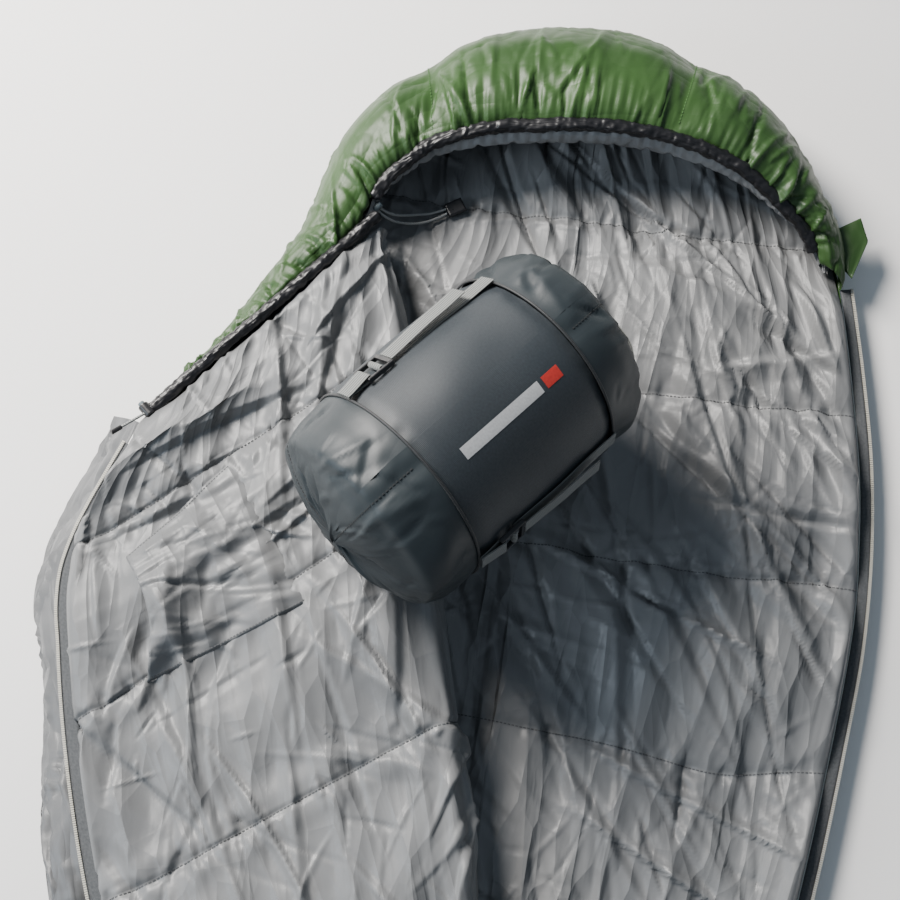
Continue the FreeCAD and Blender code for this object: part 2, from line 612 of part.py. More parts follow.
def ladder_lock(angle):
    """A ladder lock: two side rails, the anchor bar it hangs on, the middle bar and the lifting lip."""
    z = SACK_R + 6.0
    half = WEB_W / 2 + 1.0
    rails = []
    for side in (-1, 1):
        y = side * (half + 1.6)
        rail = Part.makeBox(30, 3.2, 5.0, V(LOCK_X - 18, y - 1.6, z - 2.5))
        rails.append(rail.makeFillet(1.2, rail.Edges))
    bars = [Part.makeCylinder(BAR_R, 2 * half + 2, V(LOCK_X + dx, -half - 1, z), V(0, 1, 0)) for dx in (-15.0, 0.0)]
    lip = Part.makeBox(4.0, 2 * half + 2, 3.2, V(LOCK_X + 7.0, -half - 1, z - 0.4))
    shape = rails[0].fuse(rails[1:] + bars + [lip]).removeSplitter()
    return placed(shape, angle)


def ladder_wrap(angle):
    """The turn of webbing round the middle bar, which tilts with the ladder lock."""
    z = SACK_R + 6.0
    tube = Part.makeCylinder(BAR_R + 0.25 + WEB_T, WEB_W, V(LOCK_X, -WEB_W / 2, z), V(0, 1, 0))
    tube = tube.cut(Part.makeCylinder(BAR_R + 0.25, WEB_W, V(LOCK_X, -WEB_W / 2, z), V(0, 1, 0)))
    return placed(tube.cut(Part.makeBox(20, 40, 20, V(LOCK_X + 0.6, -20, z - 10))), angle)


def straps():
    anchors, mains, tails = [], [], []
    for name, angle in STRAP_ANGLES.items():
        z = SACK_R + 6.0
        pivot = LOCK_X - 15.0
        loop = Part.makeCylinder(BAR_R + 0.3 + WEB_T, WEB_W, V(pivot, -WEB_W / 2, z), V(0, 1, 0))
        loop = loop.cut(Part.makeBox(20, 40, 20, V(pivot - 20, -20, z - 10)))
        low = strip([(-SACK_HALF - 1, SACK_R + 2.9), (-SACK_HALF + 6, SACK_R + 3.0), (pivot, z - BAR_R - 0.3 - WEB_T)],
                    WEB_W)
        high = strip([(-SACK_HALF - 1, SACK_R + 4.3), (-SACK_HALF + 6, SACK_R + 4.5), (pivot, z + BAR_R + 0.3)],
                     WEB_W)
        hole = Part.makeCylinder(BAR_R + 0.3, 60, V(pivot, -30, z), V(0, 1, 0))
        anchors.append(placed(loop.fuse([low, high]).cut(hole).removeSplitter(), angle))
        main = [(LOCK_X + 3.4, z - 5.2), (LOCK_X + 20, z - 4.6), (LOCK_X + 62, z - 3.0), (LOCK_X + 104, z - 3.6),
                (SACK_HALF + 1, SACK_R + 3.0)]
        mains.append(placed(strip(main, WEB_W), angle))
        tail = [(LOCK_X + 12.6, z + 1.2), (LOCK_X + 24, z + 1.8), (LOCK_X + 60, z + 4.0), (LOCK_X + 88, z + 5.0),
                (LOCK_X + 108, z + 6.5)]
        tails.append(placed(strip(tail, WEB_W), angle))
        save("ladder_lock_" + name, ladder_lock(angle))
        save("ladder_wrap_" + name, ladder_wrap(angle))
    save("sack_strap_anchors", *anchors)
    save("sack_strap_mains", *mains)
    save("sack_strap_tails", *tails)


def sack():
    tube = Part.makeCylinder(SACK_R, 2 * SACK_HALF, V(-SACK_HALF, 0, 0), V(1, 0, 0))
    tube = tube.cut(Part.makeCylinder(SACK_R - SKIN, 2 * SACK_HALF, V(-SACK_HALF, 0, 0), V(1, 0, 0)))
    save("sack_body", placed(tube))
    save("sack_cap_lower", placed(cap(-1)))
    save("sack_cap_upper", placed(cap(1)))
    pipings = [Part.makeTorus(SACK_R + 1.35, 1.25, V(side * SACK_HALF, 0, 0), V(1, 0, 0)) for side in (-1, 1)]
    save("sack_piping", *[placed(p) for p in pipings])

    reach, packed_r, packed_bulge = SACK_HALF + CAP_WALL - 4.0, SACK_R - SKIN - 0.8, CAP_BULGE - 1.0
    ends = [crowned_end(reach, packed_r, packed_bulge, sign) for sign in (-1, 1)]
    core = Part.makeLine(V(-reach - packed_bulge, 0, 0), V(reach + packed_bulge, 0, 0))
    side = Part.makeLine(V(-reach, 0, packed_r), V(reach, 0, packed_r))
    save("sack_contents", placed(revolved(Part.__sortEdges__([core, side] + ends))))

    end = SACK_HALF + CAP_WALL + CAP_BULGE
    loop = [(-66, end - 6.6), (-58, end + 3.0), (-40, end + 13.0), (0, end + 17.0), (40, end + 13.0),
            (58, end + 3.0), (66, end - 6.6)]
    outer = [V(x, y, -WEB_W / 2) for y, x in loop]
    inner = [V(x - 1.6, y * 0.97, -WEB_W / 2) for y, x in loop]
    handle = Part.Face(Part.makePolygon(outer + inner[::-1] + [outer[0]])).extrude(V(0, 0, WEB_W))
    save("sack_handle", placed(handle))
    straps()


def main():
    os.makedirs("parts", exist_ok=True)
    back_panel()
    front_panel()
    pocket()
    hood()
    mouth, along, out = bindings()
    draft_tube()
    zip_parts()
    zip_tab()
    hood_lock()
    cord_ends()
    neck_lock(mouth, along, out)
    hang_loops()
    sack()


main()
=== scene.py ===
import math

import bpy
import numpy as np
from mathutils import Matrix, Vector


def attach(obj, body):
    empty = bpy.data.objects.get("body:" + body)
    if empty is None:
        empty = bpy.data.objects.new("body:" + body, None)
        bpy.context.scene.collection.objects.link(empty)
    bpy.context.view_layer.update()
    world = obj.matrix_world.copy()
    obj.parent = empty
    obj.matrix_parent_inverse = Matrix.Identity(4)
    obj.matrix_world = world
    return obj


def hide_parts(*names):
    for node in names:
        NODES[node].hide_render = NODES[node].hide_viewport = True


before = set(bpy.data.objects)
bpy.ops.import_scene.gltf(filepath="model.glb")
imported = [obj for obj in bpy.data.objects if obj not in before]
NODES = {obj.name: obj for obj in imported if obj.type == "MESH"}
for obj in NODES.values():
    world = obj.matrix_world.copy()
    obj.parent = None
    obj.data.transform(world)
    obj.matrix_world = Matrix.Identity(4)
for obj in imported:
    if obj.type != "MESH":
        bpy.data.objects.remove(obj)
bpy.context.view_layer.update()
# Mummy sleeping bag with its compression sack. Metres, in the row frame. Cloth pieces are grids of points
# that a small solver settles: each is cut larger than the shape it covers, held along its seams and pushed
# out by the down behind it, so it bulges and gathers. The creases, seam grooves and puckers are added after.
# Places on the bag are (across from its axis, along it from the crown of the hood), as in the CAD source.

# ---------------------------------------------------------------- sizes and places
AXIS_X, CROWN_Y = 0.040, 1.087
HOOD_CENTRE, HOOD_A, HOOD_B = (0.040, -0.262), 0.297, 0.262
RIGHT_SIDE = [(0.351, -0.262), (0.383, -0.450), (0.391, -0.570), (0.388, -0.670), (0.364, -0.850),
              (0.336, -1.020), (0.306, -1.250), (0.274, -1.560), (0.258, -1.840), (0.250, -2.000)]
RIGHT_FOOT = [(0.236, -2.095), (0.188, -2.140), (0.090, -2.149), (0.0, -2.150)]
LEFT_SIDE = [(-0.250, -0.262), (-0.292, -0.345), (-0.338, -0.428), (-0.386, -0.560), (-0.388, -0.670),
             (-0.364, -0.850), (-0.336, -1.020), (-0.306, -1.250), (-0.274, -1.560), (-0.258, -1.840),
             (-0.250, -2.000)]
FOLD_TOP, FOLD_END = (-0.178, -0.296), (0.258, -1.880)
FREE_EDGE = [(-0.385, -0.553), (-0.428, -0.700), (-0.412, -0.800), (-0.365, -0.945), (-0.300, -1.092),
             (-0.190, -1.290), (-0.040, -1.520), (0.105, -1.725), (0.205, -1.850)]
BAFFLES = [-0.222 - 0.195 * i for i in range(10)]
ZIP_HEIGHT, ZIP_TOP, ZIP_OPEN_END, ZIP_END = 0.024, -0.266, -1.838, -2.004
BAG_LENGTH = 2.15
BACK_SEAM_Z, BACK_PUFF = 0.026, 0.026
FOLD_Z, FOLD_R = 0.0785, 0.0265
FLAP_SEAM_Z, FLAP_PUFF = 0.095, 0.026
SHELL_SEAM_Z, SHELL_PUFF, SIDE_SEAM_Z = 0.071, 0.012, 0.026
LOWEST_LINING = 0.016         # the back's lining stays above this
TUCK = 0.004                  # how far the back's lining stays inside its shell where the zip doesn't open

CAMERA_PLACE, CAMERA_AIM = Vector((0.01917, 0.25553, 1.28847)), Vector((-0.02346, 0.55884, 0.060))
CAMERA_UP, VIEW_ANGLE = Vector((-0.139, 0.990, 0.0)), 42.0

SACK_R, SACK_HALF, CAP_WALL, CAP_BULGE = 0.106, 0.090, 0.060, 0.024
SACK_MATRIX = (Matrix.Translation((-0.047 + AXIS_X, -0.539 + CROWN_Y, 0.204))
               @ Matrix.Rotation(math.radians(52.0), 4, "Z") @ Matrix.Rotation(math.radians(10.0), 4, "Y"))
STRAP_ANGLES = {"a": 45.0, "b": -78.0, "c": 132.0}
WEB_W, WEB_T, BAR_R, LOCK_X = 0.020, 0.0013, 0.0018, -0.050


def new_object(name, data):
    """A new object in the scene, from its data."""
    made = bpy.data.objects.new(name, data)
    bpy.context.scene.collection.objects.link(made)
    return made


# ---------------------------------------------------------------- camera and light
def make_camera():
    data = bpy.data.cameras.new("camera")
    data.sensor_width = 36.0
    data.lens = data.sensor_width / 2 / math.tan(math.radians(VIEW_ANGLE / 2))
    data.clip_start, data.clip_end = 0.01, 50.0
    camera = new_object("camera", data)
    back = (CAMERA_PLACE - CAMERA_AIM).normalized()
    right = CAMERA_UP.cross(back).normalized()
    turn = Matrix((right, back.cross(right), back)).transposed().to_4x4()
    camera.matrix_world = Matrix.Translation(CAMERA_PLACE) @ turn
    bpy.context.scene.camera = camera


def area_light(name, place, aim, size, power, colour):
    data = bpy.data.lights.new(name, "AREA")
    data.shape, data.size, data.energy, data.color = "DISK", size, power, colour
    light = new_object(name, data)
    light.location = place
    light.rotation_euler = (Vector(place) - Vector(aim)).to_track_quat("Z", "Y").to_euler()


def make_stage():
    world = bpy.data.worlds.new("studio")
    bpy.context.scene.world = world
    world.use_nodes = True
    sky = world.node_tree.nodes["Background"]
    sky.inputs["Color"].default_value = (0.70, 0.84, 1.0, 1.0)
    sky.inputs["Strength"].default_value = 0.27
    area_light("key", (-1.58, 1.58, 1.75), (0.0, 0.50, 0.0), 1.15, 200.0, (1.0, 0.957, 0.91))
    area_light("fill", (-2.1, -0.5, 1.5), (0.0, 0.3, 0.0), 1.1, 28.0, (0.76, 0.88, 1.0))
    bpy.ops.mesh.primitive_plane_add(size=12.0, location=(0.0, 0.0, -0.0005))
    floor = bpy.context.object
    floor.name = "floor"
    floor.data.materials.append(floor_material())


# ---------------------------------------------------------------- materials
class Nodes:
    """A material's node tree, with short ways to add and join its nodes."""

    def __init__(self, name):
        self.material = bpy.data.materials.new(name)
        self.material.use_nodes = True
        self.tree = self.material.node_tree
        self.shader = self.tree.nodes["Principled BSDF"]

    def add(self, kind, values=(), **settings):
        node = self.tree.nodes.new(kind)
        for key, value in settings.items():
            setattr(node, key, value)
        for key, value in dict(values).items():
            node.inputs[key].default_value = value
        return node

    def link(self, source, target):
        self.tree.links.new(source, target)

    def set(self, **values):
        for key, value in values.items():
            self.shader.inputs[key.replace("_", " ")].default_value = value

    def coordinates(self, kind, scale=(1.0, 1.0, 1.0), turn=0.0):
        place = self.add("ShaderNodeTexCoord")
        mapping = self.add("ShaderNodeMapping", {"Scale": scale, "Rotation": (0.0, 0.0, turn)})
        self.link(place.outputs[kind], mapping.inputs["Vector"])
        return mapping.outputs["Vector"]

    def noise(self, where, scale, detail=3.0, distortion=0.0, roughness=0.5):
        node = self.add("ShaderNodeTexNoise", {"Scale": scale, "Detail": detail, "Distortion": distortion,
                                               "Roughness": roughness})
        self.link(where, node.inputs["Vector"])
        return node.outputs["Fac"]

    def math(self, operation, first, second=0.0, clamp=False):
        node = self.add("ShaderNodeMath", operation=operation, use_clamp=clamp)
        for socket, value in zip(node.inputs, (first, second)):
            if isinstance(value, (int, float)):
                socket.default_value = value
            else:
                self.link(value, socket)
        return node.outputs[0]

    def remap(self, value, low, high, new_low, new_high):
        node = self.add("ShaderNodeMapRange", {"From Min": low, "From Max": high, "To Min": new_low,
                                               "To Max": new_high})
        self.link(value, node.inputs["Value"])
        return node.outputs["Result"]

    def tint(self, factor, low, high):
        """A colour between two, by a factor, into the shader's base colour."""
        node = self.add("ShaderNodeMix", data_type="RGBA")
        for socket in node.inputs:
            if socket.name in ("A", "B") and socket.type == "RGBA":
                socket.default_value = (*(low if socket.name == "A" else high), 1.0)
        self.link(factor, node.inputs["Factor"])
        colour = next(s for s in node.outputs if s.type == "RGBA")
        self.link(colour, self.shader.inputs["Base Color"])

    def bump(self, height, strength, distance, after=None):
        node = self.add("ShaderNodeBump", {"Strength": strength, "Distance": distance})
        self.link(height, node.inputs["Height"])
        if after is not None:
            self.link(after, node.inputs["Normal"])
        self.link(node.outputs["Normal"], self.shader.inputs["Normal"])
        return node.outputs["Normal"]

    def shine(self, pattern, low, high):
        """The shader's roughness, between two values by a pattern."""
        self.link(self.remap(pattern, 0.3, 0.7, low, high), self.shader.inputs["Roughness"])


def woven(kit, where, threads, width):
    """The height of a plain weave: two waves of threads, over and under each other."""
    waves = []
    for direction in ("X", "Y"):
        wave = kit.add("ShaderNodeTexWave", {"Scale": threads, "Distortion": 0.6, "Detail": 1.0},
                       wave_type="BANDS", bands_direction=direction)
        kit.link(where, wave.inputs["Vector"])
        waves.append(wave.outputs["Fac"])
    return kit.math("MULTIPLY", kit.math("MULTIPLY", waves[0], waves[1]), width)


def ridged(kit, where, scale, distortion):
    """Sharp ridges, as in cloth that has been stuffed into a sack: a noise folded about its middle."""
    soft = kit.noise(where, scale, 2.0, distortion)
    folded = kit.math("ABSOLUTE", kit.math("SUBTRACT", soft, 0.5))
    return kit.math("SUBTRACT", 1.0, kit.math("MULTIPLY", folded, 4.0), clamp=True)


def facets(kit, where, scale):
    """Flat facets that meet in straight creases, from the cells round scattered points."""
    cells = kit.add("ShaderNodeTexVoronoi", {"Scale": scale, "Randomness": 1.0}, feature="F1")
    kit.link(where, cells.inputs["Vector"])
    return cells.outputs["Distance"]


def nylon(name, dark, light, roughness, crumple=1.0, lean=0.6, sheen=0.0, weave=0.25):
    """Thin downproof nylon: a fine weave, straight creases with flat facets, and slight changes of shade."""
    kit = Nodes(name)
    flat = kit.coordinates("UV")
    long = kit.coordinates("UV", (1.0, 0.30, 1.0), lean)
    cross = kit.coordinates("UV", (1.0, 0.38, 1.0), lean - 0.9)
    first = kit.bump(facets(kit, long, 15.0), 0.9 * crumple, 0.0200)
    second = kit.bump(facets(kit, cross, 34.0), 0.85 * crumple, 0.0085, first)
    third = kit.bump(ridged(kit, long, 34.0, 0.5), 0.30 * crumple, 0.0016, second)
    kit.bump(woven(kit, flat, 420.0, 1.0), weave, 0.00016, third)
    kit.tint(kit.remap(kit.noise(flat, 7.0, 4.0), 0.3, 0.7, 0.0, 1.0), dark, light)
    kit.shine(kit.noise(flat, 30.0, 3.0), roughness - 0.06, roughness + 0.08)
    kit.set(Specular_IOR_Level=0.42, Sheen_Weight=sheen, Sheen_Roughness=0.4)
    return kit.material


def canvas(name, dark, light, roughness, grain=1.0):
    """The sack's plain polyester: a visible weave and a dull surface."""
    kit = Nodes(name)
    flat = kit.coordinates("UV")
    first = kit.bump(kit.noise(flat, 22.0, 4.0), 0.25, 0.0016)
    kit.bump(woven(kit, flat, 260.0, 1.0), 0.5 * grain, 0.00028, first)
    kit.tint(kit.remap(kit.noise(flat, 420.0, 2.0), 0.3, 0.7, 0.0, 1.0), dark, light)
    kit.shine(kit.noise(flat, 16.0), roughness - 0.05, roughness + 0.07)
    kit.set(Sheen_Weight=0.07, Sheen_Roughness=0.5)
    return kit.material


def webbing_material(name, dark, light):
    """Ribbed polyester webbing: fine ribs along it and a herringbone across."""
    kit = Nodes(name)
    flat = kit.coordinates("UV")
    ribs = kit.add("ShaderNodeTexWave", {"Scale": 100.0, "Distortion": 0.2}, bands_direction="X")
    across = kit.add("ShaderNodeTexWave", {"Scale": 300.0, "Distortion": 1.5}, bands_direction="Y")
    kit.link(flat, ribs.inputs["Vector"])
    kit.link(flat, across.inputs["Vector"])
    height = kit.math("ADD", ribs.outputs["Fac"], kit.math("MULTIPLY", across.outputs["Fac"], 0.35))
    kit.bump(height, 0.7, 0.0005)
    # The colour follows the rib height: painted shade, darker in the grooves between the ribs and lighter on
    # their tops.
    kit.tint(kit.remap(height, 0.1, 1.1, 0.0, 1.0), dark, light)
    kit.set(Roughness=0.75, Sheen_Weight=0.15)
    return kit.material


def elastic_material():
    """Black satin casing, gathered over elastic."""
    kit = Nodes("elastic_casing")
    flat = kit.coordinates("UV", (1.0, 0.25, 1.0))
    first = kit.bump(ridged(kit, flat, 90.0, 0.6), 0.55, 0.0016)
    kit.bump(kit.noise(kit.coordinates("UV"), 520.0, 2.0), 0.2, 0.0003, first)
    kit.tint(kit.noise(flat, 45.0, 3.0), (0.004, 0.004, 0.005), (0.013, 0.013, 0.015))
    kit.shine(kit.noise(flat, 60.0), 0.28, 0.5)
    kit.set(Specular_IOR_Level=0.45)
    return kit.material


def moulded(name, dark, light, roughness):
    """Injection-moulded plastic: a fine spark grain and faint flow marks."""
    kit = Nodes(name)
    where = kit.coordinates("Object")
    first = kit.bump(kit.noise(where, 900.0, 2.0), 0.25, 0.0002)
    kit.bump(kit.noise(where, 60.0, 3.0, 1.5), 0.1, 0.0006, first)
    kit.tint(kit.noise(where, 120.0, 4.0), dark, light)
    kit.shine(kit.noise(where, 220.0, 3.0), roughness - 0.08, roughness + 0.1)
    return kit.material


def brushed(name, dark, light, metallic, roughness):
    """Metal with fine wear: blackened on the zip, bare on the springs."""
    kit = Nodes(name)
    where = kit.coordinates("Object", (1.0, 0.2, 1.0))
    kit.bump(kit.noise(where, 1500.0, 2.0), 0.2, 0.0001)
    kit.tint(kit.remap(kit.noise(where, 260.0, 5.0), 0.52, 0.75, 0.0, 1.0), dark, light)
    kit.shine(kit.noise(where, 400.0), roughness - 0.08, roughness + 0.1)
    kit.set(Metallic=metallic)
    return kit.material


def braided(name, dark, light):
    """A braided cord: crossing spiral strands."""
    kit = Nodes(name)
    where = kit.coordinates("Object")
    wave = kit.add("ShaderNodeTexWave", {"Scale": 260.0, "Distortion": 0.8, "Detail": 1.0},
                   wave_type="BANDS", bands_direction="DIAGONAL")
    kit.link(where, wave.inputs["Vector"])
    kit.bump(wave.outputs["Fac"], 0.7, 0.0005)
    # The colour follows the strands' height: painted shade, darker in the grooves between the strands.
    kit.tint(wave.outputs["Fac"], dark, light)
    kit.shine(kit.noise(where, 300.0), 0.6, 0.8)
    return kit.material


def floor_material():
    kit = Nodes("pale_floor")
    where = kit.coordinates("Object")
    kit.bump(kit.noise(where, 60.0, 4.0), 0.08, 0.002)
    kit.tint(kit.noise(where, 3.0, 4.0), (0.86, 0.85, 0.835), (0.92, 0.91, 0.90))
    kit.set(Roughness=0.85)
    return kit.material


# ---------------------------------------------------------------- lines and grids of points
def shares(count, **more):
    """Even shares from 0 to 1."""
    return np.linspace(0.0, 1.0, count, **more)


def turns(count, **more):
    """Even angles once round."""
    return np.linspace(0.0, 2 * math.pi, count, **more)


def run_along(points):
    """The length along a line of points, at each of them."""
    return np.concatenate([[0.0], np.cumsum(np.linalg.norm(np.diff(points, axis=0), axis=1))])


def unit(ways):
    """Some directions, one a row, at length 1."""
    return ways / np.linalg.norm(ways, axis=1)[:, None]


def at(line, run, place, axes=2):
    """The point at a length along a line."""
    return np.array([np.interp(place, run, line[:, k]) for k in range(axes)])


def between(a, b, share):
    """Points from a to b, at a grid of shares of the way."""
    return a * (1 - share[..., None]) + b * share[..., None]


def square(rows, cols, long=1.0, wide=1.0):
    """Two grids that run evenly from 0: one along the rows and one across them."""
    return np.meshgrid(np.linspace(0, long, rows), np.linspace(0, wide, cols), indexing="ij")


def between_four(p0, p1, p2, p3, t):
    """A place from p1 to p2 on the smooth line (Catmull-Rom) through four points."""
    return 0.5 * (2 * p1 + (p2 - p0) * t + (2 * p0 - 5 * p1 + 4 * p2 - p3) * t * t
                  + (3 * p1 - p0 - 3 * p2 + p3) * t ** 3)


def along_curve(points, share):
    """Places along a smooth line through some points, at shares of its length."""
    pts = np.array(points, float)
    ends = np.vstack([2 * pts[0] - pts[1], pts, 2 * pts[-1] - pts[-2]])
    steps = shares(24, endpoint=False)
    dense = [between_four(p0, p1, p2, p3, t) for p0, p1, p2, p3 in zip(ends, ends[1:], ends[2:], ends[3:])
             for t in steps]
    dense = np.array(dense + [pts[-1]])
    run = run_along(dense)
    wanted = np.asarray(share) * run[-1]
    return np.stack([np.interp(wanted, run, dense[:, k]) for k in range(dense.shape[1])], axis=-1)


def hood_rim(degrees):
    a = math.radians(degrees)
    return (HOOD_CENTRE[0] + HOOD_A * math.cos(a), HOOD_CENTRE[1] + HOOD_B * math.sin(a))


RIGHT_LINE = along_curve([hood_rim(a) for a in range(90, 13, -8)] + RIGHT_SIDE + RIGHT_FOOT,
                         shares(600))
LEFT_LINE = along_curve([hood_rim(a) for a in range(90, 167, 8)] + LEFT_SIDE
                        + [(-x, y) for x, y in RIGHT_FOOT], shares(600))


def right_edge(y):
    return np.interp(-np.asarray(y), -RIGHT_LINE[:, 1], RIGHT_LINE[:, 0])


def left_edge(y):
    return np.interp(-np.asarray(y), -LEFT_LINE[:, 1], LEFT_LINE[:, 0])


def smooth_step(value, low, high):
    t = np.clip((value - low) / (high - low), 0.0, 1.0)
    return t * t * (3 - 2 * t)


def waves(x, y, size, seed):
    """Smooth noise from -1 to 1 over two coordinates, with lumps of about that size."""
    table = np.random.default_rng(seed).uniform(-1.0, 1.0, (64, 64))
    u, v = np.asarray(x) / size + 31.7, np.asarray(y) / size + 17.3
    i, j = np.floor(u).astype(int), np.floor(v).astype(int)
    fu, fv = u - i, v - j
    fu, fv = fu * fu * (3 - 2 * fu), fv * fv * (3 - 2 * fv)
    low = table[i % 64, j % 64] * (1 - fu) + table[(i + 1) % 64, j % 64] * fu
    high = table[i % 64, (j + 1) % 64] * (1 - fu) + table[(i + 1) % 64, (j + 1) % 64] * fu
    return low * (1 - fv) + high * fv


def normals(grid):
    """Unit normals of a grid of points, (3, rows, columns)."""
    a, b = np.gradient(grid, axis=2), np.gradient(grid, axis=1)
    n = np.stack([a[1] * b[2] - a[2] * b[1], a[2] * b[0] - a[0] * b[2], a[0] * b[1] - a[1] * b[0]])
    return n / (np.sqrt((n * n).sum(0)) + 1e-12)


def quilted(place, seams, top, bottom):
    """How far the filling stands up at a place along the bag: 0 on a seam, 1 midway between two."""
    stops = np.array([top] + sorted(seams, reverse=True) + [bottom])
    k = np.clip(np.searchsorted(-stops, -np.asarray(place)) - 1, 0, len(stops) - 2)
    share = (place - stops[k]) / (stops[k + 1] - stops[k])
    return np.clip(1.0 - (2 * share - 1) ** 2, 0.0, 1.0) ** 0.72


def crumples(x, y, seed, count, lean, spread, lengths, widths, heights):
    """Straight creases with flat facets beside them, as a height over a sheet.

    Lean is their main direction and spread how far they turn from it. Lengths, widths and heights are
    each the least and the most.
    """
    rng = np.random.default_rng(seed)
    height = np.zeros_like(x)
    x0, x1, y0, y1 = x.min(), x.max(), y.min(), y.max()
    for _ in range(count):
        cx, cy = rng.uniform(x0, x1), rng.uniform(y0, y1)
        angle = lean + rng.normal(0.0, spread)
        half = lengths[0] / 2 + (lengths[1] - lengths[0]) / 2 * rng.uniform() ** 2
        width = rng.uniform(*widths) * (0.55 + 0.45 * half / lengths[1])
        rise = rng.uniform(*heights) * rng.choice((-1.0, 1.0))
        height += crease(x, y, (cx, cy), angle, half, width, rise, rng.normal(0.0, 0.25) / lengths[1])
    return height


def crease(x, y, centre, angle, half, width, rise, bow):
    """One crease: a sharp ridge, steep on one side and gentle on the other, lower towards its ends."""
    out = np.zeros_like(x)
    reach = half + 1.5 * width
    near = (np.abs(x - centre[0]) < reach) & (np.abs(y - centre[1]) < reach)
    dx, dy = x[near] - centre[0], y[near] - centre[1]
    c, s = math.cos(angle), math.sin(angle)
    along = dx * c + dy * s
    off = dy * c - dx * s + bow * along ** 2
    inside = np.clip(1.0 - (along / half) ** 2, 0.0, None)
    foot = width * np.where(off * bow > 0, 0.45, 1.45) * (0.3 + 0.7 * inside)
    out[near] = rise * inside * np.clip(1.0 - np.abs(off) / foot, 0.0, None)
    return out


def puckers(x, y, lines, seed, each=90, lengths=(0.010, 0.034), rise=0.0030):
    """Short creases across some seams, where the thread has drawn the cloth in."""
    rng = np.random.default_rng(seed)
    height = np.zeros_like(x)
    for line in lines:
        run = run_along(line)
        for s in rng.uniform(0.0, run[-1], int(each * run[-1] / 0.6)):
            here, ahead = at(line, run, s), at(line, run, s + 0.01)
            angle = math.atan2(ahead[1] - here[1], ahead[0] - here[0]) + math.pi / 2 + rng.normal(0.0, 0.35)
            half = rng.uniform(*lengths) * rng.uniform(0.5, 1.0)
            width, up = rng.uniform(0.003, 0.007), rise * rng.uniform(-1.0, 1.0)
            height += crease(x, y, here, angle, half, width, up, 0.0)
    return height


def plan(grid):
    """A grid's places on the bag, across and along."""
    return grid[0] - AXIS_X, grid[1] - CROWN_Y


def up_sign(grid):
    """1 where a grid's normals already point up, and -1 where they point down."""
    return 1.0 if normals(grid)[2].mean() > 0 else -1.0


def stood_up(grid, height):
    """A grid moved along its normals, on their upper side."""
    return grid + normals(grid) * up_sign(grid) * height


def creased(x, y, kinds, folds=(), bow=0.0):
    """Several kinds of creases, and then single folds, as a height over a sheet."""
    height = sum(crumples(x, y, *kind) for kind in kinds)
    for centre, angle, half, width, rise in folds:
        height += crease(x, y, centre, angle, half, width, rise, bow)
    return height


def seam_work(grid, rows, seed):
    """The groove and the puckers of the seams that lie along some rows of a grid, as a height over it."""
    x, y = plan(grid)
    height = puckers(x, y, [np.stack([x[r], y[r]], -1) for r in rows], seed)
    for r in rows:
        for step in range(-3, 4):
            if 0 <= r + step < grid.shape[1]:
                height[r + step] -= 0.0024 * math.exp(-(step / 1.3) ** 2)
    return height


def clear_of_sack(grid, gap=0.002):
    """The cloth is pressed out of the way of the sack that lies on it."""
    matrix = np.array(SACK_MATRIX)
    local = np.einsum("ji,jrc->irc", matrix[:3, :3], grid - matrix[:3, 3][:, None, None])
    end = np.clip((np.abs(local[0]) - SACK_HALF - CAP_WALL) / (CAP_BULGE + 0.006), 0.0, 1.0)
    reach = (SACK_R + 0.005 + gap) * np.sqrt(1.0 - end)
    away = np.hypot(local[1], local[2])
    inside = away < reach
    scale = np.where(inside, reach / (away + 1e-9), 1.0)
    local[1] *= scale
    local[2] *= scale
    placed = np.einsum("ij,jrc->irc", matrix[:3, :3], local) + matrix[:3, 3][:, None, None]
    return np.where(inside, placed, grid)


def finer(grid, near, far, split):
    """A grid with its rows closer together up to a split (a share of its length) than beyond it."""
    rows = grid.shape[1]
    share = np.concatenate([np.linspace(0.0, split, near, endpoint=False), np.linspace(split, 1.0, far)])
    index = share * (rows - 1)
    low = np.minimum(index.astype(int), rows - 2)
    part = (index - low)[None, :, None]
    before, after = grid[:, np.maximum(low - 1, 0)], grid[:, np.minimum(low + 2, rows - 1)]
    return between_four(before, grid[:, low], grid[:, low + 1], after, part), share


# ---------------------------------------------------------------- the cloth solver
def link_sets(rows, cols):
    """Pairs of slices of a grid that are linked, in sets that share no point."""
    every = slice(None)
    sets = []

    def pairs(kind, *slices):
        sets.append((kind, (every, *slices[:2]), (every, *slices[2:])))

    for start in (0, 1):
        pairs("across", every, slice(start, cols - 1, 2), every, slice(start + 1, cols, 2))
        low, high = slice(start, rows - 1, 2), slice(start + 1, rows, 2)
        pairs("along", low, every, high, every)
        pairs("falling", low, slice(0, cols - 1), high, slice(1, cols))
        pairs("rising", low, slice(1, cols), high, slice(0, cols - 1))
    for start in range(4):
        pairs("stiff", every, slice(start, cols - 2, 4), every, slice(start + 2, cols, 4))
        pairs("stiff", slice(start, rows - 2, 4), every, slice(start + 2, rows, 4), every)
    return sets


def resized(grid, rows, cols):
    """A grid of values, smoothly resampled to another size."""
    old_rows, old_cols = grid.shape[-2:]
    r, c = np.linspace(0, old_rows - 1, rows), np.linspace(0, old_cols - 1, cols)
    i, j = np.minimum(r.astype(int), old_rows - 2), np.minimum(c.astype(int), old_cols - 2)
    fr, fc = (r - i)[:, None], (c - j)[None, :]
    top = grid[..., i, :][..., j] * (1 - fc) + grid[..., i, :][..., j + 1] * fc
    low = grid[..., i + 1, :][..., j] * (1 - fc) + grid[..., i + 1, :][..., j + 1] * fc
    return top * (1 - fr) + low * fr


